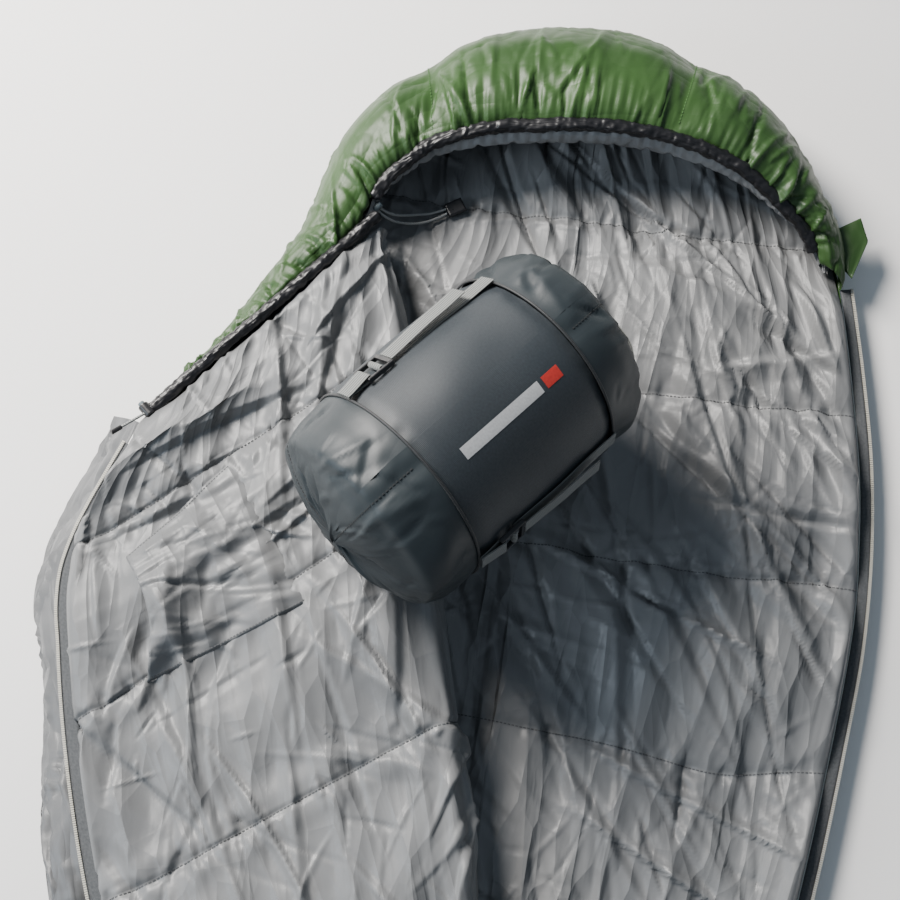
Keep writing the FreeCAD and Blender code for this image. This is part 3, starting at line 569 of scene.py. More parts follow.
def softened(grid, passes=3):
    """A grid blurred a little, inside its border."""
    grid = grid.copy()
    for _ in range(passes):
        grid[..., 1:-1, :] = (grid[..., :-2, :] + 2 * grid[..., 1:-1, :] + grid[..., 2:, :]) / 4
        grid[..., :, 1:-1] = (grid[..., :, :-2] + 2 * grid[..., :, 1:-1] + grid[..., :, 2:]) / 4
    return grid


FIRMEST = 0.95                # the most that a point is held to its shape
FLOOR_GAP = 0.0008            # cloth stays this far above the floor
DAMPING = np.float32(0.92)    # the share of its speed that a point keeps from step to step
HEM = 0.003                   # points this near an edge are held firmly


def settle(make, sizes, seed, push=0.0, side=1.0, bend=0.25):
    """Settles a cloth, from a coarse grid to a fine one.

    make(rows, cols) gives the shape that the cloth covers, how firmly each point is held to it (0 to 1),
    how much longer than that shape the cloth is cut, across and along, and how much longer its stiffening
    is. Each may be one number or a grid. Push is the down's pressure, as metres a step along the normal,
    and side is 1 or -1 for which way along it.
    """
    shift = None
    rng = np.random.default_rng(seed)
    for rows, cols, steps in sizes:
        base, *rest = make(rows, cols)
        hold, extra_across, extra_along, spare = (np.broadcast_to(value, (rows, cols)) for value in rest)
        hold = np.minimum(hold, FIRMEST)
        base = base.astype(np.float32)
        cloth = base.copy()
        if shift is not None:
            cloth += softened(resized(shift, rows, cols)).astype(np.float32)
        spacing = float(np.median(np.linalg.norm(np.diff(base, axis=2), axis=0)))
        lumps = resized(rng.normal(0, 1, (rows // 3 + 2, cols // 3 + 2)), rows, cols)
        cloth += (normals(base) * lumps * spacing * 0.05 * (1 - hold)).astype(np.float32)
        links = []
        for kind, a, b in (link_sets(rows, cols)):
            gap = base[b] - base[a]
            rest = np.sqrt((gap * gap).sum(0))
            if kind == "stiff":
                rest *= 1.0 + 0.5 * (spare[a[1:]] + spare[b[1:]])
                strength = bend
            else:
                share = {"across": 1.0, "along": 0.0}.get(kind, 0.5)
                rest *= 1.0 + extra_across[a[1:]] * share + extra_along[a[1:]] * (1 - share)
                strength = 1.0 if kind in ("across", "along") else 0.6
            links.append((a, b, rest.astype(np.float32), np.float32(0.5 * strength)))
        before = cloth.copy()
        grip = hold.astype(np.float32)
        for step in range(steps if links else 0):
            moved = (cloth - before) * DAMPING
            before = cloth.copy()
            cloth += moved
            if push and step % 3 == 0:
                lift = (normals(cloth) * np.float32(push * side * 3)).astype(np.float32)
            if push:
                cloth += lift
            cloth += (base - cloth) * grip
            for a, b, rest, strength in links:
                gap = cloth[b] - cloth[a]
                length = np.sqrt(gap[0] ** 2 + gap[1] ** 2 + gap[2] ** 2) + np.float32(1e-9)
                gap *= strength * (length - rest) / length
                cloth[a] += gap
                cloth[b] -= gap
            np.maximum(cloth[2], np.float32(FLOOR_GAP), out=cloth[2])
        shift = cloth - base
    return cloth.astype(float)


def grid_levels(length, width, spacing, steps):
    """Sizes of a cloth's grids, each twice as fine as the one before, with the steps to settle each."""
    out = []
    for level, count in enumerate(steps):
        size = spacing * 2 ** (len(steps) - 1 - level)
        out.append((max(int(length / size) + 1, 8), max(int(width / size) + 1, 8), count))
    return out


# ---------------------------------------------------------------- pieces
def corners(index, flip):
    """The four corners of each face of a grid, from the numbers of its points."""
    quads = np.stack([index[:-1, :-1], index[:-1, 1:], index[1:, 1:], index[1:, :-1]], -1).reshape(-1, 4)
    return quads[:, ::-1] if flip else quads


def sheet_mesh(name, grid, material, body, node_names, flip=False, thickness=0.0, wrap=False):
    """A mesh from a grid of points, with a UV map in metres of cloth; a thickness, if given, is added as a
    solidify modifier.
    """
    rows, cols = grid.shape[1:]
    points = np.moveaxis(grid, 0, -1).reshape(-1, 3)
    index = np.arange(rows * cols).reshape(rows, cols)
    if wrap:
        index = np.hstack([index, index[:, :1]])
    quads = corners(index, flip)
    mesh = bpy.data.meshes.new(name)
    mesh.vertices.add(len(points))
    mesh.vertices.foreach_set("co", points.astype(np.float32).ravel())
    mesh.loops.add(quads.size)
    mesh.loops.foreach_set("vertex_index", quads.astype(np.int32).ravel())
    mesh.polygons.add(len(quads))
    mesh.polygons.foreach_set("loop_start", np.arange(0, quads.size, 4, dtype=np.int32))
    mesh.polygons.foreach_set("loop_total", np.full(len(quads), 4, np.int32))
    mesh.update(calc_edges=True)
    mesh.validate()
    mesh.polygons.foreach_set("use_smooth", np.ones(len(quads), bool))
    middle = points.reshape(rows, cols, 3)
    u, v = np.meshgrid(run_along(middle[rows // 2][index[0] % cols]), run_along(middle[:, cols // 2]))
    flat = np.stack([u.ravel(), v.ravel()], -1)[corners(np.arange(u.size).reshape(u.shape), flip).ravel()]
    layer = mesh.uv_layers.new(name="metres")
    layer.data.foreach_set("uv", flat.astype(np.float32).ravel())
    mesh.materials.append(material)
    piece = new_object(name, mesh)
    if thickness:
        modifier = piece.modifiers.new("thickness", "SOLIDIFY")
        modifier.thickness, modifier.offset = thickness, 0.0
    belongs(piece, body, node_names)
    return piece


def belongs(piece, body, node_names):
    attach(piece, body)
    if node_names:
        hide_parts(*node_names)
    return piece


def boxes_mesh(name, boxes, material, body, node_names):
    """Many small bars in one mesh: each is a centre and three half axes, as arrays."""
    corner = np.array([(x, y, z) for x in (-1, 1) for y in (-1, 1) for z in (-1, 1)], float)
    faces = np.array([(0, 1, 3, 2), (4, 6, 7, 5), (0, 4, 5, 1), (2, 3, 7, 6), (0, 2, 6, 4), (1, 5, 7, 3)])
    points, quads = [], []
    for i, (centre, a, b, c) in enumerate(boxes):
        points.append(centre + corner[:, :1] * a + corner[:, 1:2] * b + corner[:, 2:] * c)
        quads.append(faces + 8 * i)
    mesh = bpy.data.meshes.new(name)
    mesh.from_pydata(np.concatenate(points).tolist(), [], np.concatenate(quads).tolist())
    mesh.materials.append(material)
    return belongs(new_object(name, mesh), body, node_names)


def stitches(name, lines, material, pitch=0.0042, body="bag"):
    """Short threads lying along some seams. A line is points and the normals there, (n, 3) each."""
    boxes = []
    for points, ways in lines:
        run = run_along(points)
        for s in np.arange(pitch, run[-1] - pitch, pitch):
            here, ahead = at(points, run, s, 3), at(points, run, s + pitch * 0.62, 3)
            up = at(ways, run, s, 3)
            half = (ahead - here) / 2
            across = np.cross(up, half)
            across *= 0.00055 / (np.linalg.norm(across) + 1e-9)
            boxes.append((here + half + up * 0.0004, half, across, up * 0.0004))
    return boxes_mesh(name, boxes, material, body, [])


def tube_grid(path, radii, sides=14, flatten=1.0):
    """A tube round a path: points (n, 3), with a radius at each point of its grid (n, sides)."""
    path = np.asarray(path, float)
    ways = unit(np.gradient(path, axis=0))
    aside = unit(np.cross(ways, np.tile([0.0, 0.0, 1.0], (len(path), 1))))
    up = np.cross(aside, ways)
    turn = turns(sides, endpoint=False)
    ring = (aside[:, None, :] * np.cos(turn)[None, :, None]
            + up[:, None, :] * np.sin(turn)[None, :, None] * flatten)
    return np.moveaxis(path[:, None, :] + ring * radii[:, :, None], -1, 0)


def in_frame(x, y, z):
    return np.stack([x + AXIS_X, y + CROWN_Y, z])


# ---------------------------------------------------------------- back panel
def back_rows(rows):
    """Places of the rows, closer together where the outline turns at the crown and the foot."""
    share = shares(rows)
    ends = 0.5 - 0.5 * np.cos(math.pi * share)
    return -0.003 - (0.86 * share + 0.14 * ends) * 2.144


def edge_rise(inside, reach):
    """A quarter ellipse from 0 at the hem to 1, at a distance inside it."""
    return np.sqrt(np.clip(1.0 - np.clip(1.0 - inside / reach, 0.0, 1.0) ** 2, 0.0, 1.0))


def to_ends(rows):
    """How far each row of the back is from the nearer end of the bag."""
    y = back_rows(rows)
    return np.minimum(y[0] - y, y - y[-1])[:, None]


def back_lining_base(rows, cols):
    y = np.repeat(back_rows(rows)[:, None], cols, 1)
    middle = y.mean()
    y = middle + (y - middle) * (1 - TUCK)
    open_zip = smooth_step(-y, 0.25, 0.30) * (1 - smooth_step(-y, 1.80, 1.86))
    share = shares(cols)[None, :]
    left, right = left_edge(y) + TUCK, right_edge(y) - TUCK * (1 - open_zip)
    x = left + (right - left) * share
    lean = -0.09 * smooth_step(-y, 0.62, 0.85) * (1 - smooth_step(-y, 1.3, 1.8))
    fade = np.minimum(x - left, right - x) / (right - left) * 2
    y = y + (lean * (x - 0.1) + 0.006 * waves(x, y * 0.3, 0.11, 5)) * smooth_step(fade, 0.0, 0.35)
    inside = np.minimum(x - left, right - x)
    puff = quilted(back_rows(rows)[:, None] + 0 * x, BAFFLES, 0.0, -BAG_LENGTH)
    z = BACK_SEAM_Z + BACK_PUFF * puff * (0.8 + 0.3 * waves(x, y, 0.16, 11))
    under = smooth_step(fold_x(y) + 0.02 - x, 0.0, 0.03)
    covered = np.maximum(under, smooth_step(y, -0.30, -0.24))
    z = ZIP_HEIGHT + (z - ZIP_HEIGHT) * edge_rise(np.minimum(inside, to_ends(rows)), 0.022 + 0.048 * covered)
    roll = np.clip((right - x) / 0.030, 0.0, 1.0) * math.pi
    x = x + 0.0075 * np.sin(roll) * open_zip
    z = z + 0.005 * np.sin(roll) * open_zip
    hold = 0.012 + 0.35 * np.exp(-(puff / 0.30) ** 2) + 0.9 * (inside < HEM) + 0.15 * under
    hold[0], hold[-1] = 0.9, 0.9
    gather = 0.030 * np.exp(-(puff / 0.35) ** 2)
    return in_frame(x, y, z), hold, gather, 0.002, 0.002


def fold_x(y):
    share = (np.asarray(y) - FOLD_TOP[1]) / (FOLD_END[1] - FOLD_TOP[1])
    return FOLD_TOP[0] + share * (FOLD_END[0] - FOLD_TOP[0])


# Kinds of creases: a seed, how many, their lean and its spread, and the ranges of length, width and height.
BACK_CREASES = [(21, 330, -0.95, 0.38, (0.10, 0.60), (0.008, 0.026), (0.0030, 0.0100)),
                (22, 800, -0.85, 0.75, (0.04, 0.22), (0.004, 0.010), (0.0008, 0.0030))]
FLAP_CREASES = [(31, 220, -1.15, 0.48, (0.08, 0.42), (0.008, 0.026), (0.0022, 0.0085)),
                (32, 520, -1.0, 0.80, (0.03, 0.18), (0.004, 0.010), (0.0008, 0.0028))]
SHELL_CREASES = [(41, 260, -1.2, 0.5, (0.08, 0.36), (0.008, 0.024), (0.0016, 0.0056)),
                 (42, 600, -1.2, 0.7, (0.03, 0.14), (0.005, 0.012), (0.0006, 0.0022))]
HOOD_CREASES = [(51, 240, 1.57, 0.30, (0.05, 0.20), (0.007, 0.020), (0.0016, 0.0060)),
                (52, 420, 1.5, 0.6, (0.015, 0.07), (0.004, 0.009), (0.0004, 0.0014))]
TUBE_CREASES = [(71, 130, 0.10, 0.20, (0.12, 0.50), (0.008, 0.020), (0.0030, 0.0095)),
                (72, 220, 0.7, 0.5, (0.03, 0.14), (0.005, 0.012), (0.0008, 0.0030))]

BACK_FOLDS = [   # larger folds in the back panel: where, which way, half as long, how wide, how high
    ((0.130, -0.650), -1.42, 0.230, 0.022, 0.0085), ((0.205, -0.700), -1.02, 0.200, 0.020, 0.0080),
    ((0.060, -0.760), -1.20, 0.150, 0.024, -0.0070), ((0.270, -0.330), -0.55, 0.090, 0.022, -0.0100),
    ((0.200, -0.295), -0.30, 0.110, 0.020, 0.0090), ((0.285, -0.370), 0.25, 0.080, 0.016, 0.0070),
    ((0.110, -0.205), -0.75, 0.100, 0.024, -0.0080), ((0.020, -0.190), -0.95, 0.080, 0.022, 0.0070),
    ((0.240, -0.520), -0.95, 0.120, 0.018, 0.0065), ((0.290, -0.610), -1.10, 0.130, 0.016, 0.0060),
    ((0.130, -0.880), -0.90, 0.180, 0.022, 0.0080), ((0.240, -0.900), -1.00, 0.170, 0.020, -0.0070),
    ((0.180, -0.470), -0.85, 0.150, 0.022, -0.0070), ((0.010, -0.930), -1.15, 0.160, 0.020, 0.0075)]


def back_panel(cloths):
    sizes = grid_levels(BAG_LENGTH, 0.78, 0.0054, (420, 300, 120))
    grid = softened(settle(back_lining_base, sizes, 3, push=0.00003), 5)
    grid, share = finer(resized(grid, grid.shape[1], 270), 300, 68, 0.47)
    x, y = plan(grid)
    height = creased(x, y, BACK_CREASES, BACK_FOLDS, 0.15)
    inner = smooth_step(right_edge(y) - x, 0.0, 0.03) * smooth_step(x - left_edge(y), 0.0, 0.04)
    inner *= smooth_step(-y, 0.0, 0.05) * smooth_step(y + BAG_LENGTH, 0.0, 0.05)
    inner *= 1 - 0.7 * smooth_step(fold_x(y) - 0.02 - x, 0.0, 0.03)
    place = np.interp(share, shares(2000), back_rows(2000))
    rows = [int(np.argmin(np.abs(place - b))) for b in BAFFLES]
    height += seam_work(grid, rows, 25)
    grid = clear_of_sack(stood_up(grid, height * inner))
    grid[2] = np.maximum(grid[2], LOWEST_LINING)
    sheet_mesh("back_lining_cloth", grid, cloths["lining"], "bag",
               ["back_lining", "back_down", "back_baffle_walls"], flip=True)
    stitches("back_lining_stitches", [seam_line(grid, r, 1) for r in rows], cloths["thread"])

    def shell_base(rows, cols):
        y = np.repeat(back_rows(rows)[:, None], cols, 1)
        share = shares(cols)[None, :]
        left, right = left_edge(y), right_edge(y)
        x = left + (right - left) * share
        inside = np.minimum(x - left, right - x)
        z = ZIP_HEIGHT - (ZIP_HEIGHT - 0.0012) * edge_rise(np.minimum(inside, to_ends(rows)), 0.020)
        return in_frame(x, y, z), 0.05 + 0.9 * (inside < HEM), 0.02, 0.02, 0.02

    under = settle(shell_base, grid_levels(BAG_LENGTH, 0.78, 0.0085, (120, 60)), 4)
    sheet_mesh("back_shell_cloth", under, cloths["shell"], "bag", ["back_shell"])


def seam_line(grid, row, margin):
    """One row of a grid, for stitches: its points and normals."""
    ways = normals(grid) * up_sign(grid)
    inner = slice(margin, grid.shape[2] - margin)
    return grid[:, row, inner].T, ways[:, row, inner].T


# ---------------------------------------------------------------- front panel, turned back
FLAP_ROWS = [(-0.296, -0.553), (-0.440, -0.700), (-0.597, -0.870), (-0.815, -1.030), (-1.010, -1.195),
             (-1.205, -1.355), (-1.400, -1.505), (-1.600, -1.655), (-1.880, -1.850)]
FLAP_SHARES = [0.0, 0.115, 0.24, 0.37, 0.49, 0.61, 0.73, 0.85, 1.0]
FOLD_UNIT = np.array([FOLD_END[0] - FOLD_TOP[0], FOLD_END[1] - FOLD_TOP[1]])
FOLD_UNIT = FOLD_UNIT / np.linalg.norm(FOLD_UNIT)
FOLD_RIGHT = np.array([-FOLD_UNIT[1], FOLD_UNIT[0]])
NECK_OUT = np.array([-0.779, 0.627])
EDGE_LINE = along_curve(FREE_EDGE, shares(500))
UNDER_LAP = 0.05              # how far the lining is made on past the fold, underneath
UNDER_FLAP_TOP = 0.079        # the shell under the flap stays below this
FLAP_LENGTH = 1.64


def free_edge(y):
    return np.interp(-y, -EDGE_LINE[:, 1], EDGE_LINE[:, 0])


def flap_frame(share):
    """The fold point and the free edge point of the flap's rows, at shares of its length."""
    table = along_curve([(s, *pair) for s, pair in zip(FLAP_SHARES, FLAP_ROWS)], shares(300))
    fold_y = np.interp(share, table[:, 0], table[:, 1])
    edge_y = np.interp(share, table[:, 0], table[:, 2])
    fold = np.stack([fold_x(fold_y), fold_y], -1)
    return fold, np.stack([free_edge(edge_y), edge_y], -1)


def flap_base(rows, cols):
    share = shares(rows)
    fold, edge = flap_frame(share)
    width = np.linalg.norm(fold - edge, axis=1)
    round_length = math.pi * FOLD_R
    total = width + round_length + UNDER_LAP
    s = shares(cols)[None, :] * total[:, None]
    top = np.clip(s / width[:, None], 0.0, 1.0)
    turn = np.clip((s - width[:, None]) / round_length, 0.0, 1.0) * math.pi
    radius = FOLD_R * (0.40 + 0.60 * smooth_step(share, 0.0, 0.09))[:, None]
    lap = np.clip(s - width[:, None] - round_length, 0.0, None)
    place = edge[:, None, :] + (fold - edge)[:, None, :] * top[..., None]
    place = place + FOLD_RIGHT * (radius * np.sin(turn))[..., None] - FOLD_RIGHT * lap[..., None]
    hem_roll = np.clip(s / 0.036, 0.0, 1.0) * math.pi
    place = place - FOLD_RIGHT * (0.0145 * np.sin(hem_roll))[..., None]
    neck_roll = np.clip(share[:, None] * FLAP_LENGTH / 0.040, 0.0, 1.0) * math.pi
    place = place + NECK_OUT * (0.002 * np.sin(neck_roll) * (turn <= 0))[..., None]
    x, y = place[..., 0], place[..., 1]
    puff = quilted(-share[:, None] + 0 * x, [-v for v in FLAP_SHARES[1:-1]], 0.0, -1.0)
    flat = 1.0 - smooth_step(turn, 0.0, 1.2)
    z = FLAP_SEAM_Z + FLAP_PUFF * puff * (0.85 + 0.35 * waves(x, y, 0.13, 8)) * flat
    near_fold = smooth_step(width[:, None] - s, 0.0, 0.05) * flat
    z = FOLD_Z + radius + (z - FOLD_Z - radius) * near_fold + 0.006 * (1 - near_fold) * puff * flat
    z = np.where(turn > 0, z - radius * (1 - np.cos(turn)), z)
    hem = np.minimum(s, share[:, None] * FLAP_LENGTH * 0.8 + 0.002)
    z = np.where(turn > 0, z, 0.088 + (z - 0.088) * edge_rise(hem, 0.026))
    hold = 0.012 + 0.30 * np.exp(-(puff / 0.28) ** 2) * flat + 0.9 * (s < HEM) + 0.4 * (lap > 0.01)
    hold[0], hold[-1] = 0.8, 0.8
    neck = np.exp(-(share[:, None] / 0.05) ** 2)
    gather = 0.032 * np.exp(-(puff / 0.35) ** 2) + 0.07 * neck
    return in_frame(x, y, z), hold, gather, 0.002, 0.002


FLAP_FOLDS = [   # larger folds in the turned-back panel
    ((-0.215, -0.430), -1.45, 0.110, 0.018, 0.0070), ((-0.255, -0.470), -1.30, 0.090, 0.014, 0.0055),
    ((-0.300, -0.545), 0.62, 0.120, 0.020, -0.0090), ((-0.330, -0.640), 0.55, 0.100, 0.018, -0.0075),
    ((-0.240, -0.540), -1.35, 0.090, 0.016, 0.0060), ((-0.230, -0.640), 0.75, 0.110, 0.020, -0.0080),
    ((-0.200, -0.760), -1.25, 0.120, 0.018, 0.0065), ((-0.290, -0.870), -0.95, 0.110, 0.018, 0.0060),
    ((-0.130, -0.830), -1.10, 0.120, 0.018, -0.0065), ((-0.150, -0.960), -1.30, 0.130, 0.020, 0.0070),
    ((-0.230, -0.950), -1.05, 0.090, 0.016, 0.0055), ((-0.090, -0.740), -1.40, 0.100, 0.018, 0.0060)]


def front_panel(cloths):
    sizes = grid_levels(FLAP_LENGTH, 0.46, 0.0050, (420, 300, 120))
    grid = softened(settle(flap_base, sizes, 7, push=0.00004), 4)
    grid, share = finer(resized(grid, grid.shape[1], 200), 340, 110, 0.50)
    seams = [int(np.argmin(np.abs(share - s))) for s in FLAP_SHARES[1:-1]]
    height = creased(*plan(grid), FLAP_CREASES, FLAP_FOLDS, 0.1) + seam_work(grid, seams, 35)
    grid = clear_of_sack(stood_up(grid, height))
    sheet_mesh("front_lining_cloth", grid, cloths["lining"], "bag", ["front_lining", "front_down"],
               flip=True)
    stitches("front_lining_stitches", [seam_line(grid, r, 2) for r in seams], cloths["thread"])
    front_shell(cloths)
    return grid


def front_shell(cloths):
    """The shell of the part of the front panel that lies in place, and of the foot."""
    top, bottom = -0.535, -2.146

    def base(rows, cols):
        share = shares(rows)
        y = top + (bottom - top) * (0.9 * share + 0.1 * np.sin(share * math.pi / 2))
        y = np.repeat(y[:, None], cols, 1)
        left, outer = left_edge(y), right_edge(y)
        right = np.minimum(outer, fold_x(y) + 0.004)
        x = left + (right - left) * shares(cols)[None, :]
        closed = smooth_step(fold_x(y) - outer, -0.02, 0.0)
        inside = np.minimum(x - left, np.where(closed > 0, right - x, 1.0) + (1 - closed) * 0.2)
        puff = quilted(y, [b for b in BAFFLES if b < top], top + 0.05, bottom)
        hidden = smooth_step(x - free_edge(y), -0.01, 0.02) * (y > FREE_EDGE[-1][1] - 0.02)
        z = SHELL_SEAM_Z + SHELL_PUFF * puff * (0.9 + 0.3 * waves(x, y, 0.15, 13)) * (1 - 0.75 * hidden)
        z = SIDE_SEAM_Z + (z - SIDE_SEAM_Z) * edge_rise(np.minimum(inside, y - bottom), 0.050)
        hold = 0.012 + 0.30 * np.exp(-(puff / 0.28) ** 2) + 0.9 * (inside < HEM) + 0.5 * hidden
        hold[0], hold[-1] = 0.9, 0.9
        gather = 0.015 + 0.06 * np.exp(-(puff / 0.45) ** 2)
        return in_frame(x, y, z), hold, gather, 0.02, 0.02

    grid = softened(settle(base, grid_levels(1.62, 0.60, 0.0060, (360, 260, 100)), 9, push=0.00004), 4)
    x, y = plan(grid)
    grid = stood_up(grid, creased(x, y, SHELL_CREASES))
    under_flap = x > free_edge(y) + 0.01
    grid[2] = np.where(under_flap, np.minimum(grid[2], UNDER_FLAP_TOP), grid[2])
    sheet_mesh("front_shell_cloth", grid, cloths["shell"], "bag",
               ["front_shell", "side_shell", "side_wall_down"], flip=True)


# ---------------------------------------------------------------- hood
HOOD_STATIONS = [   # rim of the hood across and along, then the edge of its opening across, along and up
    (0.352, -0.270, 0.322, -0.252, 0.050), (0.340, -0.214, 0.300, -0.222, 0.072),
    (0.304, -0.152, 0.262, -0.200, 0.092), (0.262, -0.096, 0.222, -0.178, 0.107),
    (0.206, -0.050, 0.175, -0.162, 0.117), (0.140, -0.019, 0.118, -0.154, 0.124),
    (0.066, -0.004, 0.058, -0.154, 0.128), (-0.012, -0.007, -0.006, -0.161, 0.127),
    (-0.084, -0.029, -0.066, -0.171, 0.123), (-0.147, -0.065, -0.124, -0.190, 0.113),
    (-0.198, -0.115, -0.164, -0.222, 0.102), (-0.234, -0.174, -0.186, -0.252, 0.094),
    (-0.250, -0.232, -0.194, -0.284, 0.091), (-0.266, -0.300, -0.220, -0.327, 0.090),
    (-0.296, -0.365, -0.260, -0.378, 0.089), (-0.325, -0.430, -0.302, -0.431, 0.087),
    (-0.357, -0.488, -0.346, -0.486, 0.085), (-0.391, -0.546, -0.385, -0.541, 0.083)]
HOOD_SEAM_SHARES = (0.262, 0.542)
NECK_SHARE = 0.665            # where along the opening's edge the hood ends and the neck edge begins


def hood_lines(rows):
    """The hood's rim and the edge of its opening, row by row, from the zip round to the left shoulder."""
    points = along_curve(HOOD_STATIONS, shares(rows))
    return points[:, :2], points[:, 2:]


def hood_base(rows, cols):
    rim, edge = hood_lines(rows)
    share = shares(rows)[:, None]
    t = shares(cols)[None, :]
    out = rim - edge[:, :2]
    wide = np.linalg.norm(out, axis=1)[:, None]
    near_seam = sum(np.exp(-((share - s) / 0.016) ** 2) for s in HOOD_SEAM_SHARES)
    size = np.clip(wide / 0.10, 0.15, 1.0)
    puff = (0.021 - 0.008 * near_seam) * size * np.sin(math.pi * t) ** 0.75
    puff = puff * (1 + 0.12 * waves(share * 1.3, t * 0.2, 0.12, 2))
    level, steep = np.cos(t * math.pi / 2), np.sin(t * math.pi / 2)
    x, y = (rim[:, k:k + 1] - out[:, k:k + 1] * (1 - level) + out[:, k:k + 1] / wide * puff * 0.35 * level
            for k in (0, 1))
    z = ZIP_HEIGHT + (edge[:, 2:] - ZIP_HEIGHT) * steep + puff * steep
    hold = 0.010 + 0.25 * near_seam + 0.9 * (t < 0.01) + 0.9 * (t > 0.995)
    hold[0], hold[-1] = 0.8, 0.8
    return in_frame(x, y, z), hold, 0.004, 0.004 + 0.09 * smooth_step(t, 0.60, 1.0), 0.05


def hood(cloths):
    sizes = grid_levels(1.30, 0.20, 0.0034, (500, 360, 200))
    grid = settle(hood_base, sizes, 12, push=0.00002, side=-1.0)
    s, t = square(*grid.shape[1:], 1.25, 0.18)
    nearer_casing = (0.30 + 0.70 * smooth_step(t, 0.06, 0.17)) * smooth_step(t, 0.0, 0.03)
    grid = stood_up(grid, creased(s, t, HOOD_CREASES) * nearer_casing)
    sheet_mesh("hood_shell_cloth", grid, cloths["shell"], "bag", ["hood_shell", "hood_down"])
    seams = [int(round(share * (grid.shape[1] - 1))) for share in HOOD_SEAM_SHARES]
    lines = [seam_line(grid, r, 2) for r in seams]
    stitches("hood_stitches", lines, cloths["green_thread"])
    hood_lining(cloths)


def hood_lining(cloths):
    """The lining inside the hood: a soft roll under the casing, then back under the roof to the floor."""

    def base(rows, cols):
        count = 220
        keep = np.linspace(0.0, NECK_SHARE + 0.03, rows) * (count - 1)
        rim, edge = (at(line, np.arange(count), keep, line.shape[1]).T for line in hood_lines(count))
        way = unit(rim - edge[:, :2])
        size = np.clip((edge[:, 2:] - 0.036) / 0.09, 0.1, 1.0)
        steps = [(-0.002, -0.006), (-0.010, -0.016), (-0.009, -0.030), (0.010, -0.041), (0.045, -0.046),
                 (0.085, -0.062)]
        lines = [np.hstack([edge[:, :2] + way * (a * size), edge[:, 2:] + b * size]) for a, b in steps]
        low = np.hstack([rim - way * 0.028, np.full((rows, 1), 0.034)])
        lines.append((lines[-1] + low) / 2 + np.array([0, 0, 0.004]))
        lines.append(low)
        t = shares(cols)
        x, y, z = np.moveaxis(np.stack([along_curve(profile, t) for profile in np.stack(lines, 1)]), -1, 0)
        hold = 0.02 + 0.9 * (t < 0.01) + 0.9 * (t > 0.99)
        gather = 0.03 + 0.10 * (1 - smooth_step(t, 0.0, 0.35))
        return in_frame(x, y, np.maximum(z, 0.032)), hold, 0.04, gather, 0.05

    grid = settle(base, grid_levels(0.92, 0.24, 0.0044, (300, 200)), 14)
    # Its cloth is the lighter copy of the grey lining: painted light in the hood's shaded hollow.
    sheet_mesh("hood_lining_cloth", grid, cloths["hood_lining"], "bag", ["hood_lining"],
               flip=True)


# ---------------------------------------------------------------- elastic casings
def casing(name, path, radius, flatten, seed, cloths, node_names, bunch=0.30):
    """A gathered casing: a flattened tube whose satin stands up in many small folds."""
    length = run_along(path)[-1]
    count = int(length / 0.0012)
    path = along_curve(path, shares(count))
    sides = 22
    s = np.linspace(0.0, length, count)[:, None]
    turn = turns(sides, endpoint=False)[None, :]
    folds = waves(s + 0.004 * waves(s, turn, 0.02, seed + 4), turn * 0.010, 0.0042, seed)
    folds = 0.65 * folds + 0.35 * waves(s, turn * 0.016, 0.0105, seed + 1)
    radii = radius * (1.0 + bunch * folds) * np.clip(np.minimum(s, length - s) / 0.004 + 0.45, 0.45, 1.0)
    path = path + 0.0009 * np.stack([waves(s[:, 0], 0 * s[:, 0], 0.03, seed + 7 + k) for k in range(3)], -1)
    grid = tube_grid(path, radii, sides, flatten)
    return sheet_mesh(name, grid, cloths["elastic"], "bag", node_names, wrap=True)


NECK_HEIGHT = 0.0965          # of the neck casing's middle above the floor


def casings(cloths):
    rim, edge = hood_lines(400)
    out = unit(rim - edge[:, :2])
    line = np.hstack([edge[:, :2] - out * 0.0035 + [AXIS_X, CROWN_Y], edge[:, 2:] - 0.001])
    split = int(NECK_SHARE * 400)
    casing("hood_casing", line[6:split:8], 0.0078, 0.80, 61, cloths, ["hood_binding", "hood_drawcord"])
    neck = np.array([FOLD_TOP, FREE_EDGE[0]]) + NECK_OUT * 0.0074 + [AXIS_X, CROWN_Y]
    way = (neck[1] - neck[0]) / np.linalg.norm(neck[1] - neck[0])
    neck = np.linspace(neck[0] - way * 0.012, neck[1] - way * 0.014, 14)
    neck = np.hstack([neck, np.full((14, 1), NECK_HEIGHT)])
    casing("neck_casing", neck, 0.0064, 0.85, 67, cloths, ["neck_binding", "neck_drawcord"])


# ---------------------------------------------------------------- draft tube, pocket and zip
def offset_line(points, distance):
    """A plan line moved to the right of travel, by a distance at each point."""
    ways = unit(np.gradient(points, axis=0))
    return points + np.stack([ways[:, 1], -ways[:, 0]], -1) * np.asarray(distance).reshape(-1, 1)


TUBE_TOP = 0.084
TUBE_DROP = [   # how high the tube's lower edge lies, at places along the bag
    (-0.553, 0.036), (-0.650, 0.010), (-0.830, 0.010), (-0.945, 0.054), (-1.092, 0.082), (-1.725, 0.082)]


